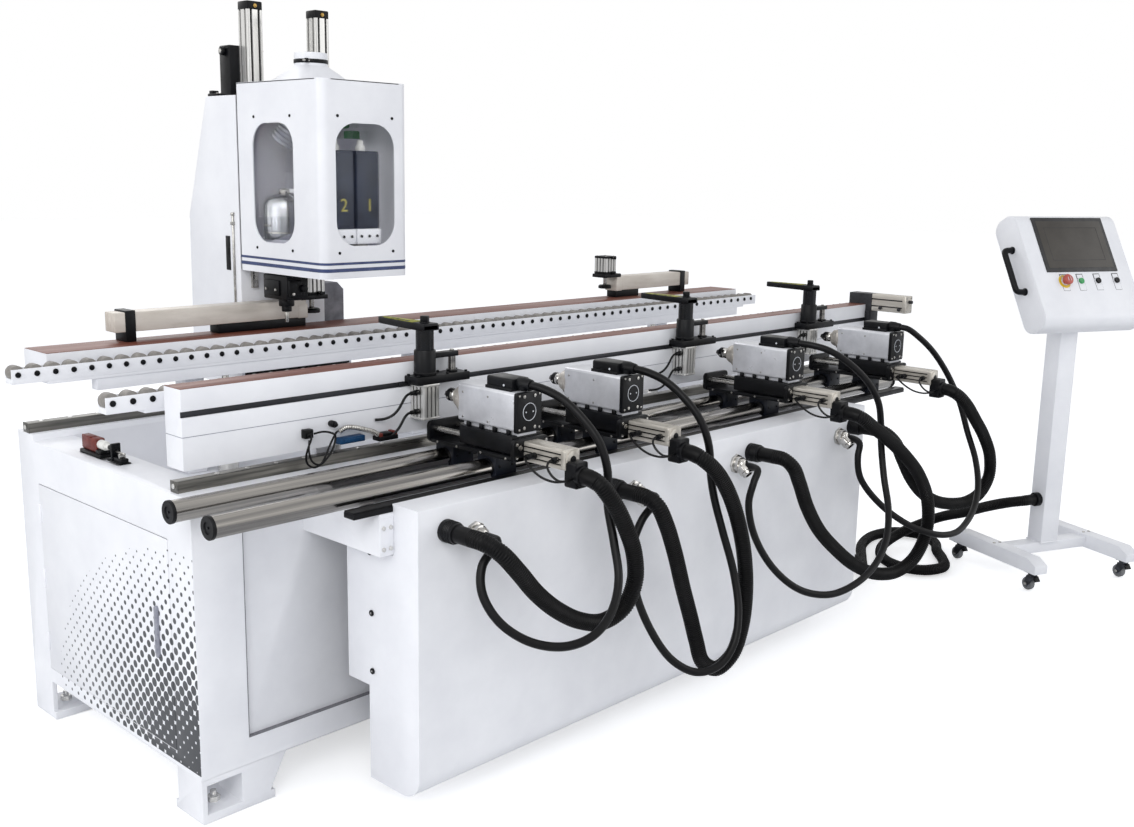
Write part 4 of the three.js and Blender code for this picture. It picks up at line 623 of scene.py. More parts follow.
for end, way in ((apron_left, -1), (apron_right, 1)):
    for y, z in ((-196, 640), (-200, 491), (-201, 346)):
        put(bm, 1, rod("x", 15, (end, end + way * 4), (y, z), 1.2, 20))
        put(bm, 2, rod("x", 5.5, (end + way * 3.5, end + way * 4.3), (y, z), 0.2, 6))
for x, _, z in (route[-1] for route in conduit_routes):
    ribs = [(0, -412), (21, -412), (23.5, -411), (24, -405)]
    for k in range(4):
        ribs += [(25.5, -404 + 5 * k), (26.6, -402.5 + 5 * k), (25.5, -400.5 + 5 * k), (24.4, -400 + 5 * k)]
    put(bm, 1, turned("y", [*ribs, (27, -383), (27, -372), (26, -367.5), (0, -367.5)], (x, z), 36))
for x, _, z in (route[-1] for route in cable_routes):
    put(bm, 3, rod("y", 58, (-379, -367.5), (x, z), 2.4, 8), rod("y", 44, (-384, -378), (x, z), 1.4, 32),
        turned("y", [(0, -407), (12, -407), (15, -405.5), (18.5, -401), (19, -397), (16.5, -395),
                     (16.5, -393), (22, -391.5), (23, -387), (22, -383), (18.5, -381.5), (18.5, -376.5),
                     (0, -376.5)], (x, z)))
    cuff = turned("y", [(11, -26), (16, -26), (17.5, -23), (17.5, -16), (20.5, -15), (21, -9), (20, -4),
                        (21, 4), (19, 9), (14, 13), (0, 14)], (0, 0), 28)
    put(bm, 3, placed(cuff, (x, -399, z - 9), 38, "X"))
piece("apron_shell", bm, (white_coat, black_coat, bright_steel, union_chrome), "base", "front_apron")

# The beams: white box sections on posts that carry the door, with a brown laminate board on top. The front
# beam has a black T-slot along its face and a pneumatic stop on its right end.
brown_laminate = finish("brown_laminate", (92, 50, 38), (116, 68, 54), 0.38, 0.55, grain=(0.12, 1.6, 1),
                        size=26, fineness=500, bump=0.2)
slot_black = finish("slot_black", (26, 27, 31), (46, 47, 52), 0.35, 0.5, metal=0.3, grain=(0.1, 1, 1),
                    size=40)
air_beige = finish("air_beige", (178, 172, 162), (210, 205, 196), 0.26, 0.4, metal=0.5, grain=(1, 0.1, 1),
                   size=40, bump=0.05)


def grooved(middle, width, height, grooves, depth=3.0, breadth=2.8, radius=4):
    """The outline of an extruded air cylinder of any width and height"""
    outline = []
    for k, (long, wide) in enumerate(((width, height), (height, width)) * 2):
        side = [(long / 2, -wide / 2 + radius)]
        for share in grooves:
            c = share * wide / 2
            side += [(long / 2, c - breadth), (long / 2 - depth, c - breadth * 0.8),
                     (long / 2 - depth, c + breadth * 0.8), (long / 2, c + breadth)]
        side += [(long / 2, wide / 2 - radius), (long / 2 - radius * 0.3, wide / 2 - radius * 0.3)]
        c, s = ((1, 0), (0, 1), (-1, 0), (0, -1))[k]
        outline += [(middle[0] + a * c - b * s, middle[1] + a * s + b * c) for a, b in side]
    return outline


def flutes(axis, middle, width, height, grooves, span, depth=3.0, breadth=2.8):
    """Dark strips of painted shade on the floors of an air cylinder's grooves"""
    shade_strips = []
    for k, (long, wide) in enumerate(((width, height), (height, width)) * 2):
        c, s = ((1, 0), (0, 1), (-1, 0), (0, -1))[k]
        for share in grooves:
            near, far, m = long / 2 - depth - 0.6, long / 2 - depth + 0.5, share * wide / 2
            rim = ((near, m - breadth * 0.7), (far, m - breadth * 0.7), (far, m + breadth * 0.7),
                   (near, m + breadth * 0.7))
            shade_strips.append(pushed(axis, [(middle[0] + a * c - b * s, middle[1] + a * s + b * c) for a,
                                        b in rim], span))
    return shade_strips


beam_posts, stop_cylinder = (440, 1265, 2550), (2979, 1039.5)
bm = put(bmesh.new(), 0, pushed("x", [(46, 842), (120, 842), (120, 1028.6), (46, 1028.6), (46, 978),
                                      (51, 978), (51, 964), (46, 964)], (14, 2953), 1.4))
put(bm, 1, slab((15, 2952), (47.4, 118.6), (1020, 1030), 0.8))
put(bm, 2, slab((14, 2953), (47.5, 52), (964.6, 977.4), 0.8), slab((15, 2952), (49.4, 51.5), (968, 974)))
put(bm, 3, slab((14.5, 2952.5), (45.7, 46.4), (918.6, 920.2)), slab((13.7, 14.4), (47, 118), (918.6, 920.2)))
put(bm, 0, *(slab((x - 30, x + 30), (106, 128), (787.3, 844), 1.4) for x in beam_posts))
put(bm, 2, *(slab((x - 15, x + 15), (43.6, 47), (966, 976), 1) for x in (640, 840, 1725, 1925, 2450, 2650)))
put(bm, 2, slab((2951, 3005), (20, 120), (946, 1072), 2.4), slab((2948, 2953), (26, 46), (950, 1004), 1))
put(bm, 4, pushed("y", grooved(stop_cylinder, 52, 66, (-0.4, 0.4)), (-110, 20)),
    slab((2953, 3005), (-125, -109), (1006, 1073), 3))
# Dark strips of painted shade on the stop cylinder's groove floors
put(bm, 2, *flutes("y", stop_cylinder, 52, 66, (-0.4, 0.4), (-109, 20)))
put(bm, 5, *bolts("y", 7, (-127, -124), (2961, 2997), (1014.5, 1064.5), 0.6))
put(bm, 2, rod("y", 13, (-139, -124), (2979, 1050), 1, 16),
    *bolts("x", 12, (2943, 2954), (-100, -20), (1020,), 1, 16))
piece("front_beam_body", bm, (white_coat, brown_laminate, slot_black, latch_grey, air_beige, bright_steel),
      "base", "front_beam")

bm = put(bmesh.new(), 0, slab((18, 3045), (736, 874), (963, 1028.6), 1.6))
put(bm, 1, slab((19.4, 3043.6), (737.4, 872.6), (1020, 1030), 0.8))
put(bm, 0, *(slab((x - 30, x + 30), (741, 797), (640.3, 965), 1.6) for x in beam_posts))
put(bm, 2, *bolts("y", 12, (732.5, 736.5), range(120, 3000, 240), (985,), 1, 16))
piece("rear_beam_body", bm, (white_coat, brown_laminate, bright_steel), "base", "rear_beam")

# The roller rails: two white channels, each with a row of grey rollers on screwed axles, that lift together
# on four rods to carry the door in and out
roller_grey = finish("roller_grey", (116, 112, 108), (146, 142, 137), 0.4, 0.6, size=40)
for name, y in (("rear", 710), ("front", 204)):
    bm = put(bmesh.new(), 0, pushed("x", [(y - 20, 965), (y + 20, 965), (y + 20, 1003), (y + 16, 1003),
                                          (y + 16, 979), (y - 16, 979), (y - 16, 1003), (y - 20, 1003)],
                                    (-92, 3128), 0.8))
    put(bm, 0, slab((130, 3000), (y - 16, y + 16), (925, 967), 1.4))
    put(bm, 3, *(rod("z", 20, (800, 927), (x, y), 0.8) for x in (520, 2450)))
    put(bm, 0, slab((0, 3040), (y - 19, y + 19), (957, 968), 1))
    for k in range(67):
        x = -76 + 48 * k
        put(bm, 1, rod("y", 38, (y - 15.2, y + 15.2), (x, 993), 2, 20))
        for way in (-1, 1):
            side = y + way * 20
            put(bm, 2, rod("y", 15, (side - way * 0.5, side + way * 3.4), (x, 989), 1.4, 12))
            put(bm, 2, rod("y", 6, (side + way * 3, side + way * 3.9), (x, 989), 0, 6))
    piece(f"roller_channel_{name}", bm, (white_coat, roller_grey, black_coat, bright_steel), "roller_table",
          f"roller_rail_{name}")

# The front clamps: a fluted air cylinder under a flange bolted on the beam, a black sleeve with a chromed
# guide post bracketed beside it, and a black post with a pointed arm that comes down on the door
deep_black = finish("deep_black", (6, 7, 10), (18, 20, 26), 0.18, 0.32, size=26, bump=0.04, shine=0.28)
pad_yellow = finish("pad_yellow", (116, 118, 30), (156, 156, 52), 0.45, 0.65, size=60, bump=0.2)
for n, x in enumerate((690, 1775, 2500), 1):
    y = 17.7
    bm = put(bmesh.new(), 0, pushed("z", grooved((x, y), 54, 54, (-0.5, 0, 0.5)), (884, 971)))
    # Dark strips of painted shade on the cylinder's groove floors
    put(bm, 3, *flutes("z", (x, y), 54, 54, (-0.5, 0, 0.5), (886, 970)))
    put(bm, 0, slab((x - 28, x + 28), (y - 28, y + 28), (879.8, 886), 2),
        slab((x - 28, x + 28), (y - 28, y + 28), (965, 973), 2))
    put(bm, 1, slab((x - 46, x + 132), (-10.3, 45.7), (972.2, 994), 2.5),
        turned("z", [(23.6, 994), (29, 994), (30, 995.5), (30, 1001), (28.4, 1003), (28.4, 1057), (27, 1060),
                     (24.4, 1060), (23.6, 1058), (23.6, 994)], (x, y), 44))
    put(bm, 1, slab((x + 24, x + 105), (y - 13, y + 13), (1036, 1050), 2),
        rod("z", 30, (993, 1000), (x + 92, y), 1.5, 28))
    put(bm, 4, rod("z", 20, (996, 1040), (x + 92, y), 0, 28))
    put(bm, 2, rod("z", 12, (1049.5, 1054), (x + 92, y), 1, 6))
    put(bm, 1, *bolts("z", 8, (993.5, 998), (x - 38, x + 60, x + 124), (y - 20, y + 20)),
        *bolts("z", 6, (878.6, 880.5), (x - 20, x + 20), (y - 12, y + 20), 0.6))
    for z in (902, 952):
        put(bm, 1, rod("x", 15, (x - 42, x - 27.5), (y - 8, z), 1.5, 20),
            rod("x", 11, (x - 55, x - 41), (y - 8, z), 1.5, 20))
        put(bm, 2, rod("x", 16, (x - 36, x - 33), (y - 8, z), 0.6, 6))
    piece(f"clamp_{n}_cylinder", bm, (fluted_alloy, black_coat, bright_steel, slot_black, ground_chrome),
          "base", f"clamp_cylinder_{n}")
    arm = [(x - 25, y - 25), (x + 25, y - 25), (x + 25, y + 50), (x + 10, y + 172), (x + 7, y + 185),
           (x - 7, y + 185), (x - 10, y + 172), (x - 25, y + 50)]
    bm = put(bmesh.new(), 0, rod("z", 47, (1054, 1113), (x, y), 0, 40),
             slab((x - 24, x + 28), (y - 25, y + 27), (1111, 1126), 2.5))
    put(bm, 1, pushed("z", arm, (1112, 1130), 2.4))
    put(bm, 1, rod("z", 27, (1129, 1133), (x, y), 1, 24), rod("z", 24, (1132, 1148), (x, y), 1.6, 6))
    put(bm, 2, pushed("z", [(x - 22, y + 24), (x + 20, y + 30), (x + 10, y + 150), (x + 4, y + 170),
                            (x - 5, y + 168), (x - 11, y + 150)], (1129.8, 1130.8), 0.3))
    put(bm, 1, *(slab((x - 16 + 2 * k, x - 8 + 2 * k), (y + 50 + 22 * k, y + 62 + 22 * k), (1130.4, 1131.4),
                      0.3) for k in range(4)))
    piece(f"clamp_{n}_arm", bm, (deep_black, black_coat, pad_yellow), f"clamp_{n}", f"clamp_arm_{n}")
    for k, z in enumerate((902, 952), 1):
        drop = [(x - 53, y - 8, z), (x - 64, y - 8, z - 2), (x - 74, y - 8, z - 10), (x - 82, y - 7, z - 22),
                (x - 92, y - 4, z - 38), (x - 106, y + 2, z - 52), (x - 124, y + 12, z - 60),
                (x - 144, y + 25, z - 62)]
        thin_hose(f"clamp_hose_{n}_{k}", drop, 3, 3.5, cable_black, "base")

# The wiring on the front beam's face: a black socket with thin looped leads, a blue air valve on a black
# base with red ends, and a silver spring hose between them
valve_blue = finish("valve_blue", (14, 52, 86), (24, 68, 106), 0.4, 0.55, size=60, shine=0.3)
bm = put(bmesh.new(), 0, slab((326, 350), (28, 46.4), (874, 896), 2),
         slab((330, 346), (22, 30), (878, 888), 2), rod("y", 17, (26, 46.4), (412, 899), 2.4, 24),
         rod("y", 11, (20, 28), (412, 899), 2, 20), slab((540, 600), (16, 46.4), (838, 850), 2),
         slab((553, 586), (20, 46), (849, 857), 2))
put(bm, 1, slab((424, 500), (22, 46.2), (846, 862), 2.4), slab((436, 488), (20, 24), (850, 858), 1))
put(bm, 2, *(slab((x, x + 10), (17, 44), (849, 859), 1.6) for x in (542, 588)))
piece("beam_wiring", bm, (black_coat, valve_blue, sensor_red), "base")
spring = [(430, 34, 878), (446, 30, 886), (470, 26, 884), (496, 24, 876), (524, 24, 866), (548, 28, 852)]
thin_hose("beam_spring_hose", spring, 1.6, 6.5, bright_steel, "base",
          sides=14, drawn=lambda i: 6.6 - 1.1 * (i % 3 > 1))
lead_routes = (((338, 22, 882), (330, 10, 876), (318, 4, 860), (312, 6, 838), (318, 10, 818), (336, 10, 806),
                (356, 8, 812), (372, 8, 836), (392, 14, 862), (412, 22, 880), (424, 32, 880)),
               ((346, 22, 886), (364, 12, 890), (384, 10, 886), (400, 10, 876), (392, 6, 850), (372, 4, 826),
                (350, 4, 812), (332, 8, 820), (326, 14, 846), (332, 20, 872)))
for n, route in enumerate(lead_routes, 1):
    thin_hose(f"beam_lead_{n}", route, 4, 2.6, cable_black, "base")

# The rear clamps: a beige extruded bar on a black rail, and a small fluted cylinder that presses a black
# foot on the door's face
plate_beige = finish("plate_beige", (192, 184, 174), (218, 211, 202), 0.34, 0.5, metal=0.15,
                     grain=(0.2, 1, 1), size=30, bump=0.06)
for n, (end, length, way) in enumerate(((866, 626, 1), (2330, 460, -1)), 1):
    start = end - way * length
    fx, fy = end + way * 39.5, 830
    bm = put(bmesh.new(), 0, slab((start, end), (800, 860), (1058, 1113), 2.5))
    put(bm, 0, *(slab((start - way * (0.2 + 0.6 * (k % 2)), start + way * 2), (802 + 8 * k, 806 + 8 * k),
                      (1060, 1111), 0.6) for k in range(7)))
    put(bm, 1, slab((start + way * 320, end), (806, 854), (1030.4, 1060), 2))
    put(bm, 1, slab((start + way * 30, start + way * 60), (797, 863), (1030.4, 1118), 2))
    put(bm, 1, slab((end - way * 20, end + way * 79), (797, 863), (1111, 1125), 2))
    put(bm, 0, slab((end - way * 30, end + way * 4), (799, 861), (1056, 1100), 2))
    put(bm, 2, pushed("z", grooved((fx, fy), 62, 62, (-0.5, 0, 0.5)), (1134, 1186)))
    # Dark strips of painted shade on the cylinder's groove floors
    put(bm, 1, *flutes("z", (fx, fy), 62, 62, (-0.5, 0, 0.5), (1136, 1185)))
    put(bm, 1, slab((fx - 31, fx + 31), (fy - 31, fy + 31), (1124, 1136), 2.4))
    put(bm, 1, slab((fx - 31, fx + 31), (fy - 31, fy + 31), (1184, 1195), 2.4))
    put(bm, 3, *bolts("z", 7, (1194, 1196.5), (fx - 23, fx + 23), (fy - 23, fy + 23)))
    for z in (1130, 1189):
        put(bm, 1, rod("y", 13, (fy - 46, fy - 30), (fx + 8, z), 1.5, 20))
        put(bm, 3, rod("y", 14, (fy - 40, fy - 37), (fx + 8, z), 0.6, 6))
    piece(f"rear_clamp_{n}_bar", bm, (plate_beige, black_coat, fluted_alloy, bright_steel), "base",
          f"rear_clamp_bar_{n}")
    bm = put(bmesh.new(), 0, turned("z", [(0, 1067), (24, 1067), (26, 1069), (26, 1077), (22, 1081),
                                          (0, 1081)], (fx, fy), 40))
    put(bm, 1, rod("z", 16, (1076, 1155), (fx, fy), 0.5, 24))
    piece(f"rear_clamp_{n}_foot", bm, (black_coat, bright_steel), f"rear_clamp_{n}", f"rear_clamp_foot_{n}")

# The drilling units: each has a black slide on two saddles that clamp the guide bars, an air cylinder that
# pushes it, and a cast aluminium motor with a chromed chuck. Thin air hoses run from the slide to the
# elbow.
motor_alloy = finish("motor_alloy", (194, 195, 200), (218, 219, 224), 0.26, 0.38, metal=0.4, size=18,
                     fineness=420, bump=0.16)
motor_nose = finish("motor_nose", (168, 162, 154), (206, 201, 194), 0.26, 0.4, metal=0.5, size=50, bump=0.1)
mark_white = finish("mark_white", (196, 200, 208), (222, 225, 230), 0.4, 0.6, size=90)
saddle_navy = finish("saddle_navy", (18, 21, 28), (34, 38, 47), 0.32, 0.48, size=20, fineness=500, bump=0.12,
                     shine=0.25)
hose_black = finish("hose_black", (7, 7, 9), (18, 18, 21), 0.3, 0.44, size=60, bump=0.04, shine=0.25)
hose_routes = (((-29, -352, 838), (-46, -356, 836), (-54, -382, 820), (-52, -420, 802), (-42, -452, 796),
                (-30, -470, 798), (-21, -478, 800)),
               ((-29, -442, 846), (-50, -442, 846), (-62, -446, 836), (-64, -462, 818), (-56, -478, 806),
                (-42, -486, 804), (-21, -488, 806)))

bar_bore, saddle_half_gap, cylinder_height, spindle_height = 25.45, 21, 847, 944
for n, x in enumerate((route[0][0] for route in conduit_routes), 1):
    bm = bmesh.new()
    for bar in (bar_rear, bar_front):
        wrap = math.asin(saddle_half_gap / bar_bore)
        notch = [(bar - bar_bore * math.cos(a), bar_height + bar_bore * math.sin(a))
                 for a in (-wrap + (math.pi + 2 * wrap) * k / 20 for k in range(21))]
        put(bm, 3, pushed("x", [(bar - 34, 764), *notch, (bar + 34, 764), (bar + 34, 824), (bar - 34, 824)],
                          (x - 35, x + 35), 1))
        for side in (-1, 1):
            put(bm, 0, *bolts("y", 8, (bar + side * 33.5, bar + side * 36), (x - 22, x + 22), (792,)))
    put(bm, 0, slab((x - 52, x + 52), (-330, -4), (822, 834), 2),
        slab((x - 58, x - 52.5), (-326, -20), (824, 833), 1),
        slab((x + 52.5, x + 58), (-326, -20), (824, 833), 1))
    for y in (-330, -16):
        put(bm, 0, pushed("y", rounded((x, 850), 120, 56, 13), (y, y + 12), 1.4))
    for y in (-332, -2):
        put(bm, 2, *bolts("y", 9, (y - 1, y + 3.5), (x - 50, x + 50), (834, 866), 1, 6),
            *bolts("y", 13, (y - 0.5, y + 3), (x - 38, x + 38), (857,), 1, 20))
    put(bm, 2, *(rod("y", 16, (-320, -14), (x + a, 857), 0, 28) for a in (-38, 38)))
    put(bm, 2, *(rod("x", 7, (x + s * 57.5, x + s * 60), (y, 828.5), 0.8, 6) for s in (-1, 1)
                 for y in (-300, -210, -120, -45)))
    put(bm, 1, pushed("y", grooved((x, cylinder_height), 50, 50, (-0.5, 0, 0.5), 2.6, 2.2), (-455, -330)))
    # Dark strips of painted shade on the cylinder's groove floors
    put(bm, 0, *flutes("y", (x, cylinder_height), 50, 50, (-0.5, 0, 0.5), (-454, -331), 2.6, 2.2))
    put(bm, 1, pushed("y", rounded((x, cylinder_height), 50, 50, 6), (-469, -454), 1.6),
        rod("y", 44, (-471.5, -468), (x, cylinder_height), 1.2, 36))
    put(bm, 0, rod("y", 20, (-472.5, -470.5), (x, cylinder_height), 0.6, 24))
    put(bm, 0, pushed("y", rounded((x, 814), 44, 64, 7), (-500, -464), 1.6),
        turned("y", [(0, -508), (22, -508), (24.5, -506), (25, -497), (23.5, -494), (23.5, -490), (0, -490)],
               (x, 812)))
    put(bm, 0, rod("x", 16, (x - 44, x - 32), (-376, 846), 1.6, 20),
        rod("x", 13, (x - 52, x - 43), (-376, 846), 1.6, 20))
    put(bm, 0, rod("x", 15, (x - 40, x - 24), (-352, 838), 1.6, 20),
        rod("x", 15, (x - 40, x - 24), (-442, 846), 1.6, 20))
    put(bm, 2, rod("x", 16, (x - 31, x - 28), (-442, 846), 0.6, 6),
        rod("x", 16, (x - 31, x - 28), (-352, 838), 0.6, 6))
    piece(f"unit_{n}_slide", bm, (black_coat, air_beige, bright_steel, saddle_navy), f"carriage_{n}",
          f"carriage_{n}")
    for k, route in enumerate(hose_routes, 1):
        thin_hose(f"air_hose_{n}_{k}", [(x + a, b, c) for a, b, c in route], 3, 3, hose_black,
                  f"carriage_{n}")

    bm = put(bmesh.new(), 0, pushed("y", rounded((x, 941), 80, 98, 9), (-310, -105), 1.2))
    put(bm, 0, slab((x - 32, x + 32), (-314, -120), (882, 894)))
    put(bm, 3, turned("y", [(0, -107), (43, -107), (43, -97), (41, -94), (33, -92), (31, -88), (30, -76),
                            (27, -68), (20, -65), (0, -65)], (x, spindle_height), 44))
    put(bm, 1, slab((x - 50, x + 50), (-314, -120), (838, 884), 2.6))
    put(bm, 1, pushed("y", rounded((x, 940), 85, 100, 6), (-322, -310), 1.6))
    put(bm, 2, *bolts("y", 9, (-324, -321), (x - 18, x + 18), (902, 980)),
        *bolts("y", 6, (-323.4, -321), (x - 34, x + 34), (899, 983)))
    put(bm, 4, turned("y", [(21, -322.7), (22.4, -322.7), (22.4, -321.5), (21, -321.5), (21, -322.7)],
                      (x, 941), 40), *bolts("y", 4, (-323, -321.6), (x - 12, x + 12), (941,), 0))
    put(bm, 1, turned("y", [(0, -322.8), (8, -322.8), (19, -322.4), (19, -321.6), (0, -321.6)], (x, 941)))
    put(bm, 2, *(rod("x", 6, (x + s * 39.6, x + s * 41), (y, z), 0.5, 12)
                 for s in (-1, 1) for y in (-122, -215) for z in (905, 968)))
    put(bm, 1, *bolts("z", 13, (883, 896), (x - 37, x + 37), (-288, -238, -190, -142), 1.4))
    put(bm, 1, pushed("y", rounded((x, 1001.5), 60, 37, 6), (-290, -200), 2),
        slab((x - 34, x + 34), (-292, -198), (987, 997), 1.6),
        turned("y", [(0, -328), (12.4, -328), (14, -326), (16, -312), (17.5, -308), (17.5, -289), (0, -289)],
               (x, 1007)))
    put(bm, 4, rod("x", 6, (x - 31.4, x - 29.6), (-262, 1002), 0.5, 12),
        rod("x", 6, (x + 29.6, x + 31.4), (-262, 1002), 0.5, 12))
    piece(f"unit_{n}_motor", bm, (motor_alloy, black_coat, bright_steel, motor_nose, mark_white),
          f"motor_{n}", f"motor_{n}")

    bm = put(bmesh.new(), 0, turned("y", [(0, -64.6), (12, -64.6), (12, -58), (15, -57), (17, -54), (17, -44),
                                          (16, -42.5), (16, -40), (0, -40)], (x, spindle_height), 36))
    put(bm, 1, turned("y", [(0, -41), (16.6, -41), (17, -40), (17, -30), (15, -27), (9, -19), (6.5, -14),
                            (5, -12.6), (0, -12.6)], (x, spindle_height), 36))
    for k in range(3):
        jaw = slab((-2.4, 2.4), (-18.5, -12), (1.5, 7), 0.8)
        hole = rod("x", 6, (14.5, 17.6), (-35, 0), 0.5, 12)
        put(bm, 0, placed(jaw, (x, 0, spindle_height), 120 * k, "Y"),
            placed(hole, (x, 0, spindle_height), 120 * k + 40, "Y"))
    piece(f"unit_{n}_chuck", bm, (union_chrome, black_coat), f"chuck_{n}", f"chuck_{n}")

# The column: a tapered white sheet casing on a carriage that straddles the rear rail. A fluted cylinder and
# a black drive box stand on its top, and the head runs on two guides on its front.
navy_paint = finish("navy_paint", (40, 52, 92), (58, 72, 114), 0.3, 0.44, size=40)
brass = finish("brass", (150, 120, 66), (196, 164, 98), 0.2, 0.36, metal=1, size=90)
tall_cylinder, rear_rail = (825, 1005), 846
bm = put(bmesh.new(), 0, pushed("x", [(886, 840), (1186, 840), (1178, 1361), (1053, 1723), (886, 1723)],
                                (690, 995), 4))
put(bm, 0, slab((640, 1045), (815, 892), (832.4, 950), 3))
put(bm, 3, slab((650, 1035), (812.6, 816), (842, 940), 1.2),
    *bolts("y", 12, (810, 813.5), (664, 1021), (858, 924), 1, 6))
put(bm, 3, *(slab((640, 1045), (rear_rail + s * 22.3 - 6, rear_rail + s * 22.3 + 6), (812, 837), 1.2)
             for s in (-1, 1)))
put(bm, 2, *(slab((x - 10, x + 10), (876, 888.5), (1150, 1700), 1.5) for x in (735, 950)),
    *(slab((x - 5, x + 5), (875.4, 878), (1152, 1698), 0.6) for x in (735, 950)))
put(bm, 3, slab((687.4, 691), (939, 962), (1202, 1306), 1.2), slab((686.6, 689), (945, 956), (1250, 1270), 1),
    slab((686, 691), (940, 964), (1030, 1062), 1.2))
put(bm, 2, rod("z", 7, (1080, 1372), (686.5, 915), 1, 16), rod("z", 13, (1368, 1378), (686.5, 915), 2, 16),
    slab((680.6, 691), (909, 921), (1082, 1094), 1), slab((680.6, 691), (909, 921), (1340, 1350), 1))
# The web at the casing's right side, below the head, is painted mid grey as painted shade
put(bm, 5, pushed("y", [(994, 850), (1080, 850), (1080, 1126), (1056, 1150), (994, 1150)], (900, 960), 2))
put(bm, 1, pushed("z", grooved(tall_cylinder, 54, 54, (-0.5, 0.5), 3, 4.2), (1722, 1985)))
# Dark strips of painted shade on the tall cylinder's groove floors
put(bm, 3, *flutes("z", tall_cylinder, 54, 54, (-0.5, 0.5), (1734, 1984), 3, 4.2))
put(bm, 3, slab((798, 852), (978, 1032), (1982, 2010), 3.5), slab((796, 854), (976, 1033), (1722, 1736), 2))
put(bm, 4, rod("y", 13, (975, 979.5), (825, 1996), 1, 24), rod("y", 6, (974, 975.6), (825, 1996), 0.4, 12))
put(bm, 3, slab((765, 885), (1031, 1091), (1663, 1880), 4), slab((762, 888), (1035, 1087), (1868, 1872), 1))
put(bm, 3, rod("x", 26, (752, 767), (1061, 1862), 2, 28))
put(bm, 2, rod("x", 14, (749.5, 753), (1061, 1862), 1, 24))
put(bm, 3, slab((695, 723), (993, 1048), (1721, 1731), 2), slab((698, 720), (1024, 1044), (1730, 1740), 2))
put(bm, 2, *bolts("z", 8, (1730, 1733), (709,), (1002, 1016), 0.6, 6))
piece("column_casing", bm, (white_coat, fluted_alloy, bright_steel, black_coat, brass, painted_shade_grey), "column",
      "column_body")

# The head's housing: one sheet folded round two upright corners, with a window cut in its front and in its
# left side, and a roof that rises to the round dust port
front, rear, left, right, low, high, bend = 455, 880, 690, 995, 1207, 1757, 28
quarter = bend * math.pi / 2
side_run, front_run = rear - front - bend, right - left - 2 * bend
marks = [side_run, side_run + quarter, side_run + quarter + front_run, side_run + 2 * quarter + front_run]
length = marks[3] + side_run


def folded(s):
    """The place on the housing's outer face, in plan, at a length along its sheet from the left rear edge"""
    if s <= marks[0]:
        return left, rear - s
    if s < marks[1]:
        turn = (s - marks[0]) / bend
        return left + bend - bend * math.cos(turn), front + bend - bend * math.sin(turn)
    if s <= marks[2]:
        return left + bend + s - marks[1], front
    if s < marks[3]:
        turn = (s - marks[2]) / bend
        return right - bend + bend * math.sin(turn), front + bend - bend * math.cos(turn)
    return right, front + bend + s - marks[3]


side_window = rounded((rear - 696, 1469), 208, 342, 68, 10)
front_window = rounded((marks[1] + 840 - left - bend, 1469), 206, 342, 68, 10)
shell = bmesh.new()
for outline in ([(0, low), (length, low), (length, high), (0, high)], side_window, front_window):
    loop = [shell.verts.new((s, 0, z)) for s, z in outline]
    for a, b in zip(loop, loop[1:] + loop[:1]):
        shell.edges.new((a, b))
bmesh.ops.triangle_fill(shell, edges=shell.edges, use_beauty=True, use_dissolve=False)
for k in range(9):
    for begin in (marks[0], marks[2]):
        bmesh.ops.bisect_plane(shell, geom=shell.verts[:] + shell.edges[:] + shell.faces[:], dist=0.001,
                               plane_co=(begin + quarter * k / 8, 0, 0), plane_no=(1, 0, 0))
for v in shell.verts:
    v.co.x, v.co.y = folded(v.co.x)
bmesh.ops.recalc_face_normals(shell, faces=shell.faces)
bm = put(bmesh.new(), 0, thickened(shell, 4))
top = [folded(marks[0] + (marks[3] - marks[0]) * k / 40) for k in range(41)]
put(bm, 0, pushed("z", [(left, rear), *top, (right, rear)], (1753, 1757), 0.8))
put(bm, 0, *(slab(x, (876, rear), (low, high)) for x in ((left, 720), (965, right))),
    slab((720, 965), (876, rear), (1740, high)))
duct_middle, roof_cylinder = (825, 690), (952, 835)
hood = bmesh.new()
loops = []
for share, z in ((0, 1756), (0.3, 1768), (0.62, 1786), (0.9, 1800), (1, 1806)):
    loop = []
    for k in range(48):
        turn = k / 48 * 2 * math.pi
        c, s = math.cos(turn), math.sin(turn)
        square = min(105 / max(abs(c), 1e-6), 110 / max(abs(s), 1e-6), 128)
        radius = square + (48 - square) * share
        loop.append(hood.verts.new((duct_middle[0] + radius * c, duct_middle[1] + radius * s, z)))
    loops.append([hood.edges.new(pair) for pair in zip(loop, loop[1:] + loop[:1])])
for a, b in zip(loops, loops[1:]):
    bmesh.ops.bridge_loops(hood, edges=a + b)
bmesh.ops.recalc_face_normals(hood, faces=hood.faces)
put(bm, 0, hood, turned("z", [(45, 1800), (48, 1800), (48, 1841), (47, 1842), (46, 1842), (45, 1841),
                              (45, 1800)], duct_middle, 48))
put(bm, 3, turned("z", [(47.6, 1812), (49.2, 1812), (49.6, 1813), (49.6, 1822), (49.2, 1823), (47.6, 1823),
                        (47.6, 1812)], duct_middle, 48), slab((778, 788), (646, 656), (1811, 1824), 2))
put(bm, 5, rod("x", 5, (770, 792), (650, 1817.5), 0.6, 12))
put(bm, 1, pushed("z", grooved(roof_cylinder, 50, 50, (-0.5, 0.5), 3, 3.8), (1756, 1960)))
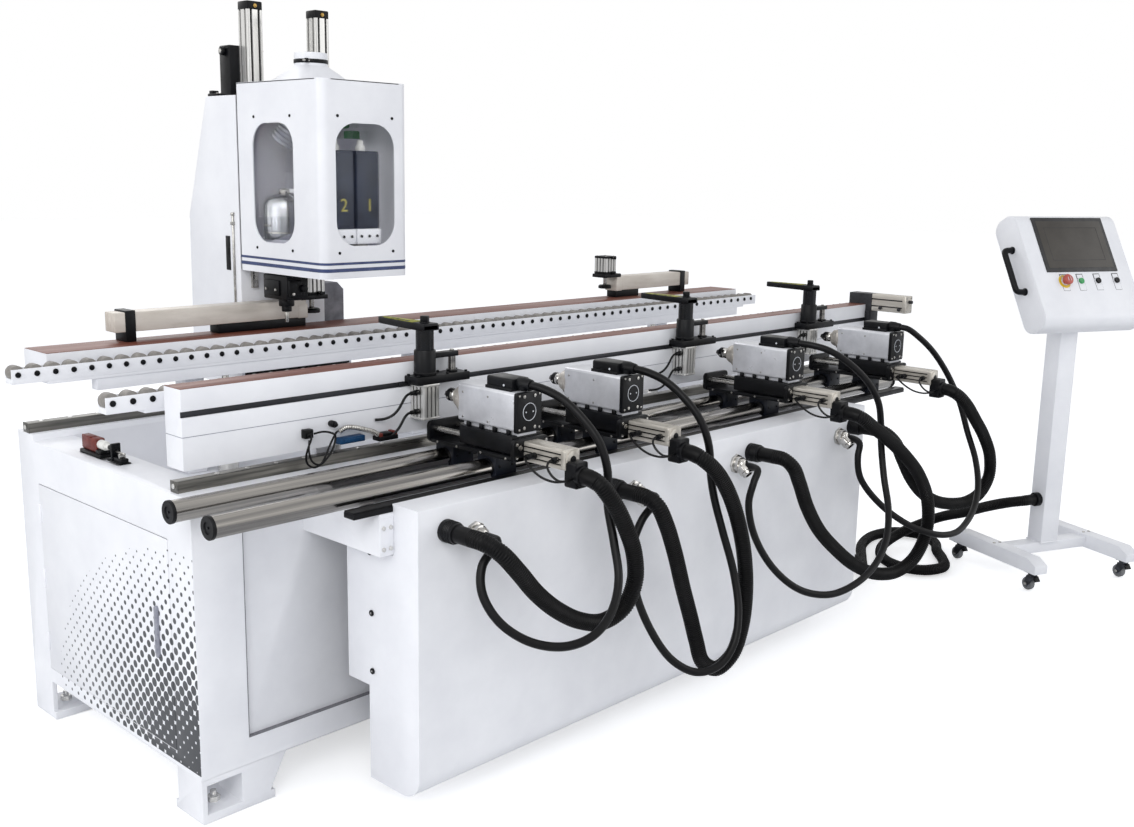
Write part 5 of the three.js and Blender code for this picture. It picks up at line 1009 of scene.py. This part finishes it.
# Dark strips of painted shade on the roof cylinder's groove floors
put(bm, 3, *flutes("z", roof_cylinder, 50, 50, (-0.5, 0.5), (1766, 1959), 3, 3.8))
put(bm, 3, slab((927, 977), (810, 860), (1957, 1983), 3.5), slab((925, 979), (808, 862), (1756, 1768), 2))
put(bm, 4, rod("y", 12, (807, 811), (952, 1970), 1, 24), rod("y", 6, (806, 807.6), (952, 1970), 0.4, 12))
for z0, z1 in ((1226, 1236), (1246, 1253)):
    band = strip([(*folded(length * k / 160), z0) for k in range(161)], (0, 0, z1 - z0))
    put(bm, 2, thickened(band, -0.5))
put(bm, 3, *bolts("y", 8.5, (452.6, 456), (745, 935), (1280, 1658)),
    *bolts("x", 8.5, (687.6, 691), (604, 788), (1280, 1658)))
bend_down = smooth_line([(825, 690, 1800), (824, 691, 1776), (820, 697, 1745), (812, 706, 1708),
                         (800, 722, 1665), (786, 740, 1622), (769, 760, 1584)], 3)
put(bm, 6, tube(bend_down, lambda i: 41 - 4 * (i % 4 > 1), 32))
piece("head_shell", bm, (white_coat, fluted_alloy, navy_paint, black_coat, brass, bright_steel, latch_grey),
      "head", "head_housing")

clear_sheet = finish("clear_sheet", (238, 241, 246), (247, 249, 252), 0, 0.01, size=8, bump=0.004)
clear = clear_sheet.node_tree.nodes["Principled BSDF"]
clear.inputs["Transmission Weight"].default_value = 1
clear.inputs["IOR"].default_value = 1.2
clear.inputs["Alpha"].default_value = 0.14
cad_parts["head_window_guard"].data.materials.clear()
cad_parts["head_window_guard"].data.materials.append(clear_sheet)

# Inside the head: a grey plate on the guides, a shelf with the silver mortising motor, and the black works
# below it that turn the tool
green_body = finish("green_body", (52, 110, 66), (76, 140, 88), 0.35, 0.5, size=60)
inner_grey = finish("inner_grey", (176, 176, 190), (200, 200, 213), 0.4, 0.55, size=8, bump=0.06)
domed_silver = finish("domed_silver", (128, 130, 136), (206, 208, 212), 0.14, 0.3, metal=1, grain=(3, 3, 0.1),
                      size=16, bump=0.03)
silver_motor = (775, 768)
bm = put(bmesh.new(), 0, slab((718.6, 966.4), (867.7, 875.7), (1215, 1735), 1.4),
         slab((720, 965), (571, 875), (1290, 1304), 1.4), slab((737, 913), (571, 583), (1215, 1600), 1.4))
put(bm, 1, turned("z", [(0, 1303), (59, 1303), (61, 1306), (62, 1330), (62, 1398), (59, 1412), (52, 1424),
                        (36, 1433), (18, 1438), (0, 1440)], silver_motor, 48))
put(bm, 2, turned("z", [(0, 1437), (15, 1437), (17, 1439), (17, 1448), (14, 1451), (0, 1451)], silver_motor),
    turned("z", [(59, 1322), (63.2, 1322), (63.2, 1326), (59, 1326), (59, 1322)], silver_motor, 48))
put(bm, 2, *bolts("x", 7, (711, 716), (756, 768, 780), (1345,)))
put(bm, 4, slab((783, 835), (718, 778), (1440, 1452), 2), slab((829, 841), (678, 778), (1304, 1500), 2))
put(bm, 3, slab((700, 775), (655, 780), (1130, 1203), 5), slab((716, 760), (670, 765), (1200, 1292), 2),
    slab((704, 748), (648, 660), (1140, 1190), 3), slab((694, 702), (690, 765), (1142, 1188), 3))
put(bm, 3, rod("z", 46, (1108, 1132), (738, 716), 3, 32), rod("z", 30, (1092, 1110), (738, 716), 2, 28),
    rod("y", 22, (638, 660), (752, 1165), 2, 24))
put(bm, 2, rod("z", 12, (1060, 1094), (738, 716), 1, 20), rod("x", 9, (690, 702), (703, 1160), 1, 6),
    rod("x", 9, (690, 702), (753, 1160), 1, 6), rod("y", 10, (642, 658), (716, 1150), 1, 6))
put(bm, 5, rod("y", 16, (660, 868), (930, 1640), 3, 20), slab((914, 946), (620, 660), (1590, 1625), 4))
put(bm, 2, *(rod("z", 12, (1440, 1725), (x, 800), 1, 16) for x in (900, 922, 944)))
piece("head_works", bm, (inner_grey, domed_silver, bright_steel, black_coat, white_coat, green_body), "head",
      "head_frame")

# The two spindle units: dark blue-black castings with a painted number, white cable glands on top, a steel
# foot plate with three bolts, and a collet that plunges through the housing's open bottom
casting_navy = finish("casting_navy", (26, 32, 46), (44, 52, 70), 0.32, 0.5, size=14, fineness=300, bump=0.25)
number_yellow = finish("number_yellow", (150, 142, 70), (178, 170, 90), 0.5, 0.65, size=90)
for n, x in ((1, 866), (2, 776)):
    back = 570.7
    bm = put(bmesh.new(), 0, slab((x - 40, x + 40), (481, back), (1345, 1565), 3),
             slab((x - 39, x + 39), (479.5, 482), (1352, 1558), 1.5))
    put(bm, 1, slab((x - 42.5, x + 42.5), (476, back), (1302, 1345), 2.5))
    put(bm, 2, *bolts("y", 9, (473, 477), (x - 28, x, x + 28), (1324,), 1, 6))
    put(bm, 3, turned("z", [(0, 1564), (13, 1564), (14, 1566), (14, 1576), (9, 1584), (9, 1592), (6, 1596),
                            (0, 1596)], (x - 8, 505), 24))
    put(bm, 4, rod("z", 50, (1230, 1304), (x, 525.7), 2, 36))
    put(bm, 4, turned("z", [(0, 1213), (8, 1213), (12, 1219), (12, 1232), (0, 1232)], (x, 525.7), 28))
    words = bpy.data.curves.new(f"digit_{n}", "FONT")
    words.body = str(n)
    words.size = 0.052
    words.extrude = 0.0004
    stand_in = bpy.data.objects.new(f"digit_{n}", words)
    digit = bmesh.new()
    digit.from_mesh(stand_in.to_mesh())
    stand_in.to_mesh_clear()
    bpy.data.objects.remove(stand_in)
    bmesh.ops.scale(digit, verts=digit.verts, vec=(1000, 1000, 1000))
    put(bm, 5, placed(digit, (x - 8, 479.2, 1395), 90, "X"))
    piece(f"spindle_{n}", bm, (casting_navy, white_coat, black_coat, cap_white, bright_steel, number_yellow),
          f"spindle_{n}", f"spindle_unit_{n}")

# The console: a white sheet box tilted towards the operator, on a square post and an H-shaped stand. It has
# a dark touch screen, an emergency stop, three buttons and a bar handle on each side.
console_turn, panel_tilt = math.radians(-24), math.radians(-30)
console_place = Matrix.Translation((3365, -571, 0)) @ Matrix.Rotation(console_turn, 4, "Z")
panel_place = console_place @ Matrix.Translation((0, -8, 1172.65)) @ Matrix.Rotation(panel_tilt, 4, "X")
beam = [(-240, 75), (240, 75), (240, 107.5), (195, 130), (-195, 130), (-240, 107.5)]
bm = put(bmesh.new(), 0, *(pushed("x", beam, (side * 227 - 31, side * 227 + 31), 3) for side in (-1, 1)),
         slab((-198, 198), (-30, 30), (80, 121), 2.5), slab((-42.5, 42.5), (-37.5, 37.5), (119, 1150), 4),
         slab((-46, 46), (-41, 41), (118, 124), 2.5))
put(bm, 1, turned("x", [(0, -62.5), (25, -62.5), (27, -61), (27, -56), (25.4, -55), (27, -54), (27, -49),
                        (25.4, -48), (27, -47), (27, -42), (0, -42)], (0, 290), 36))
put(bm, 2, *bolts("z", 12, (129.4, 133), (-241, -213, 213, 241), (0,), 1, 6))
piece("console_post", moved(bm, console_place), (white_coat, black_coat, bright_steel), "base",
      "console_stand")

controls, control_row = (-102, -23, 60, 152), -58
screen_dark = finish("screen_dark", (62, 59, 56), (76, 73, 69), 0.3, 0.42, size=5, bump=0.02, shine=0.25)
screen_frame = finish("screen_frame", (20, 20, 22), (32, 32, 35), 0.4, 0.55, size=40)
bm = put(bmesh.new(), 0, pushed("x", rounded((0, 0), 120, 460, 46, 8), (-240, 240), 2.5))
put(bm, 0, *(pushed("x", rounded((0, 0), 110, 450, 42, 8), (side * 239, side * 241.2), 1)
             for side in (-1, 1)))
put(bm, 2, slab((-172.5, 172.5), (-64, -58), (-20, 205), 2.5))
put(bm, 1, slab((-157, 157), (-64.7, -62), (-4, 189), 0.4))
put(bm, 2, *(slab((x, x + 1.6), (-65, -64), (26, 162)) for x in (-128, 126.4)),
    *(slab((-128, 128), (-65, -64), (z, z + 1.6)) for z in (26, 160.4)))
for x in controls:
    put(bm, 3, turned("y", [(11.4, -60.6), (15.5, -60.6), (16, -60), (16, -58), (11.4, -58), (11.4, -60.6)],
                      (x, control_row), 32))
    put(bm, 4, slab((x - 16, x + 16), (-60.5, -59.4), (-96, -28), 0.6))
    put(bm, 0, slab((x - 13, x + 13), (-61.4, -59.6), (-48, -31), 0.6),
        slab((x - 15, x + 15), (-61, -59.6), (-95, -49), 0.4))
for side in (-1, 1):
    grip = [(239, -70), (262, -70), (274, -68), (280, -63), (282, -52), (282, 15), (282, 82), (280, 93),
            (274, 98), (262, 100), (239, 100)]
    put(bm, 4, tube(smooth_line([(side * x, 0, z) for x, z in grip], 4), lambda i: 11, 20))
    for z in (-70, 100):
        put(bm, 4, rod("x", 28, (side * 239, side * 246), (0, z), 1.6, 28))
piece("console_head", moved(bm, panel_place), (white_coat, screen_dark, screen_frame, latch_grey, black_coat),
      "base", "console_box")

stop_red = finish("stop_red", (160, 62, 54), (182, 84, 72), 0.3, 0.42, size=60, bump=0.04)
ring_yellow = finish("ring_yellow", (206, 172, 28), (230, 196, 46), 0.35, 0.5, size=60)
bm = put(bmesh.new(), 0, turned("y", [(0, -88), (13, -87.6), (18, -86.2), (20, -83.5), (20, -76), (18.5, -73),
                                      (9, -72), (9, -46), (0, -46)], (controls[0], control_row), 40))
put(bm, 1, *(slab((controls[0] + a - 1, controls[0] + a + 1), (-88.3, -87.4), (-66, -50), 0.3)
             for a in (-6, 6)))
piece("stop_button", moved(bm, panel_place), (stop_red, mark_white), "emergency_stop", "emergency_stop")
bm = put(bmesh.new(), 0, turned("y", [(16.4, -61.4), (26, -61.4), (27, -60.6), (27, -59.6), (16.4, -59.6),
                                      (16.4, -61.4)], (controls[0], control_row), 44))
piece("stop_ring", moved(bm, panel_place), ring_yellow, "base")
button_green = finish("button_green", (36, 134, 72), (56, 164, 92), 0.26, 0.4, size=60, bump=0.04)
for n, (x, colour) in enumerate(zip(controls[1:], (button_green, black_coat, black_coat)), 1):
    bm = put(bmesh.new(), 0, turned("y", [(0, -67.2), (8.5, -67.6), (10, -68), (11, -67), (11, -46),
                                          (0, -46)], (x, control_row), 32))
    piece(f"push_button_{n}", moved(bm, panel_place), colour, f"button_{n}", f"button_{n}")

# The casters: four swivel castors under the stand, each a folded steel fork round a grey rubber wheel, with
# a black tread brake behind it
fork_zinc = finish("fork_zinc", (46, 47, 50), (80, 82, 88), 0.26, 0.4, metal=0.8, size=50)
tread_grey = finish("tread_grey", (96, 97, 99), (124, 125, 127), 0.5, 0.7, size=40, bump=0.2)
axle_height = 25
for n, (sx, sy) in enumerate(((-1, 1), (-1, -1), (1, -1), (1, 1)), 1):
    x, y = sx * 227, sy * 200
    bm = put(bmesh.new(), 0, slab((x - 22, x + 22), (y - 22, y + 22), (70.7, 74.7), 1.2),
             turned("z", [(0, 60), (14, 60), (17, 62), (17, 67), (14, 70.8), (0, 70.8)], (x, y), 32),
             slab((x - 13.9, x + 13.9), (y - 18, y + 18), (56, 60), 1.2))
    cheek = [(y - 18, 58), (y - 18, 50), (y + 8, 19), (y + 18, 16), (y + 27, 20), (y + 28, 29), (y + 18, 58)]
    put(bm, 0, *(pushed("x", cheek, (x + s * 10.9, x + s * 13.9), 0.8) for s in (-1, 1)))
    put(bm, 1, rod("x", 8, (x - 16, x + 16), (y + 18, axle_height), 0.8, 16),
        *(rod("x", 13, (x + s * 13.6, x + s * 17.5), (y + 18, axle_height), 1, 6) for s in (-1, 1)))
    put(bm, 2, pushed("x", [(y - 30, 44), (y - 27, 42), (y - 12, 54), (y - 12, 60), (y - 18, 60)],
                      (x - 12, x + 12), 1))
    piece(f"caster_frame_{n}", moved(bm, console_place), (fork_zinc, bright_steel, black_coat), f"caster_{n}",
          f"caster_fork_{n}")
    bm = put(bmesh.new(), 0, turned("x", [(14, x - 9), (20, x - 10), (23.5, x - 9), (25, x - 5), (25, x + 5),
                                          (23.5, x + 9), (20, x + 10), (14, x + 9), (14, x - 9)],
                                    (y + 18, axle_height), 44))
    put(bm, 1, turned("x", [(4.4, x - 9.6), (8, x - 9.6), (9, x - 6), (14.5, x - 5), (14.5, x + 5),
                            (9, x + 6), (8, x + 9.6), (4.4, x + 9.6), (4.4, x - 9.6)], (y + 18, axle_height),
                      36))
    piece(f"caster_tyre_{n}", moved(bm, console_place), (tread_grey, latch_grey), f"wheel_{n}",
          f"caster_wheel_{n}")

# The stage: a plain pale floor that glows faintly where the camera sees it, and four soft lamps. The world
# is white to the camera and in reflections, and a dimmer blue-white elsewhere.
floor = finish("floor", (238, 239, 241), (243, 244, 246), 0.6, 0.75, size=2, bump=0.01)
web = floor.node_tree
ray = node(web, "LightPath")
glow = node(web, "Emission", {"Color": (1, 1, 1, 1), "Strength": 0.5}).outputs[0]
dark = node(web, "Emission", {"Color": (0, 0, 0, 1), "Strength": 0}).outputs[0]
glow = node(web, "MixShader", {0: ray.outputs["Is Camera Ray"], 1: dark, 2: glow}).outputs[0]
paint_shader = web.nodes["Principled BSDF"].outputs[0]
web.links.new(node(web, "AddShader", {0: paint_shader, 1: glow}).outputs[0],
              web.nodes["Material Output"].inputs[0])
bpy.ops.mesh.primitive_plane_add(size=60, location=(0, 0, -0.002))
ground = bpy.context.object
ground.name = "ground"
ground.data.materials.append(floor)
for name, power, size, place in (("key_light", 132, 3.4, (-4.5, -3.5, 4.0)),
                                 ("fill_light", 52, 4.0, (3.2, -4.6, 2.4)),
                                 ("left_light", 52, 3.0, (-5.5, 0.5, 2.4)),
                                 ("back_light", 50, 3.0, (-0.5, 4.2, 3.8))):
    lamp = bpy.data.lights.new(name, "AREA")
    lamp.energy = power
    lamp.size = size
    made = bpy.data.objects.new(name, lamp)
    made.location = place
    made.rotation_euler = (Vector((0, 0, 0.8)) - Vector(place)).to_track_quat("-Z", "Y").to_euler()
    bpy.context.scene.collection.objects.link(made)
world = bpy.data.worlds.new("studio")
bpy.context.scene.world = world
world.use_nodes = True
world.node_tree.nodes.clear()
rays = node(world.node_tree, "LightPath")
seen = worked(world.node_tree, "MAXIMUM", rays.outputs["Is Camera Ray"], rays.outputs["Is Glossy Ray"],
              kind="Math")
seen = worked(world.node_tree, "MAXIMUM", seen, rays.outputs["Is Transmission Ray"], kind="Math")
soft = node(world.node_tree, "Background", {"Color": (0.95, 0.97, 1, 1), "Strength": 0.56}).outputs[0]
white = node(world.node_tree, "Background", {"Color": (1, 1, 1, 1), "Strength": 1}).outputs[0]
mixed = node(world.node_tree, "MixShader", {0: seen, 1: soft, 2: white}).outputs[0]
node(world.node_tree, "OutputWorld", {"Surface": mixed})
bpy.context.scene.view_settings.view_transform = "Standard"
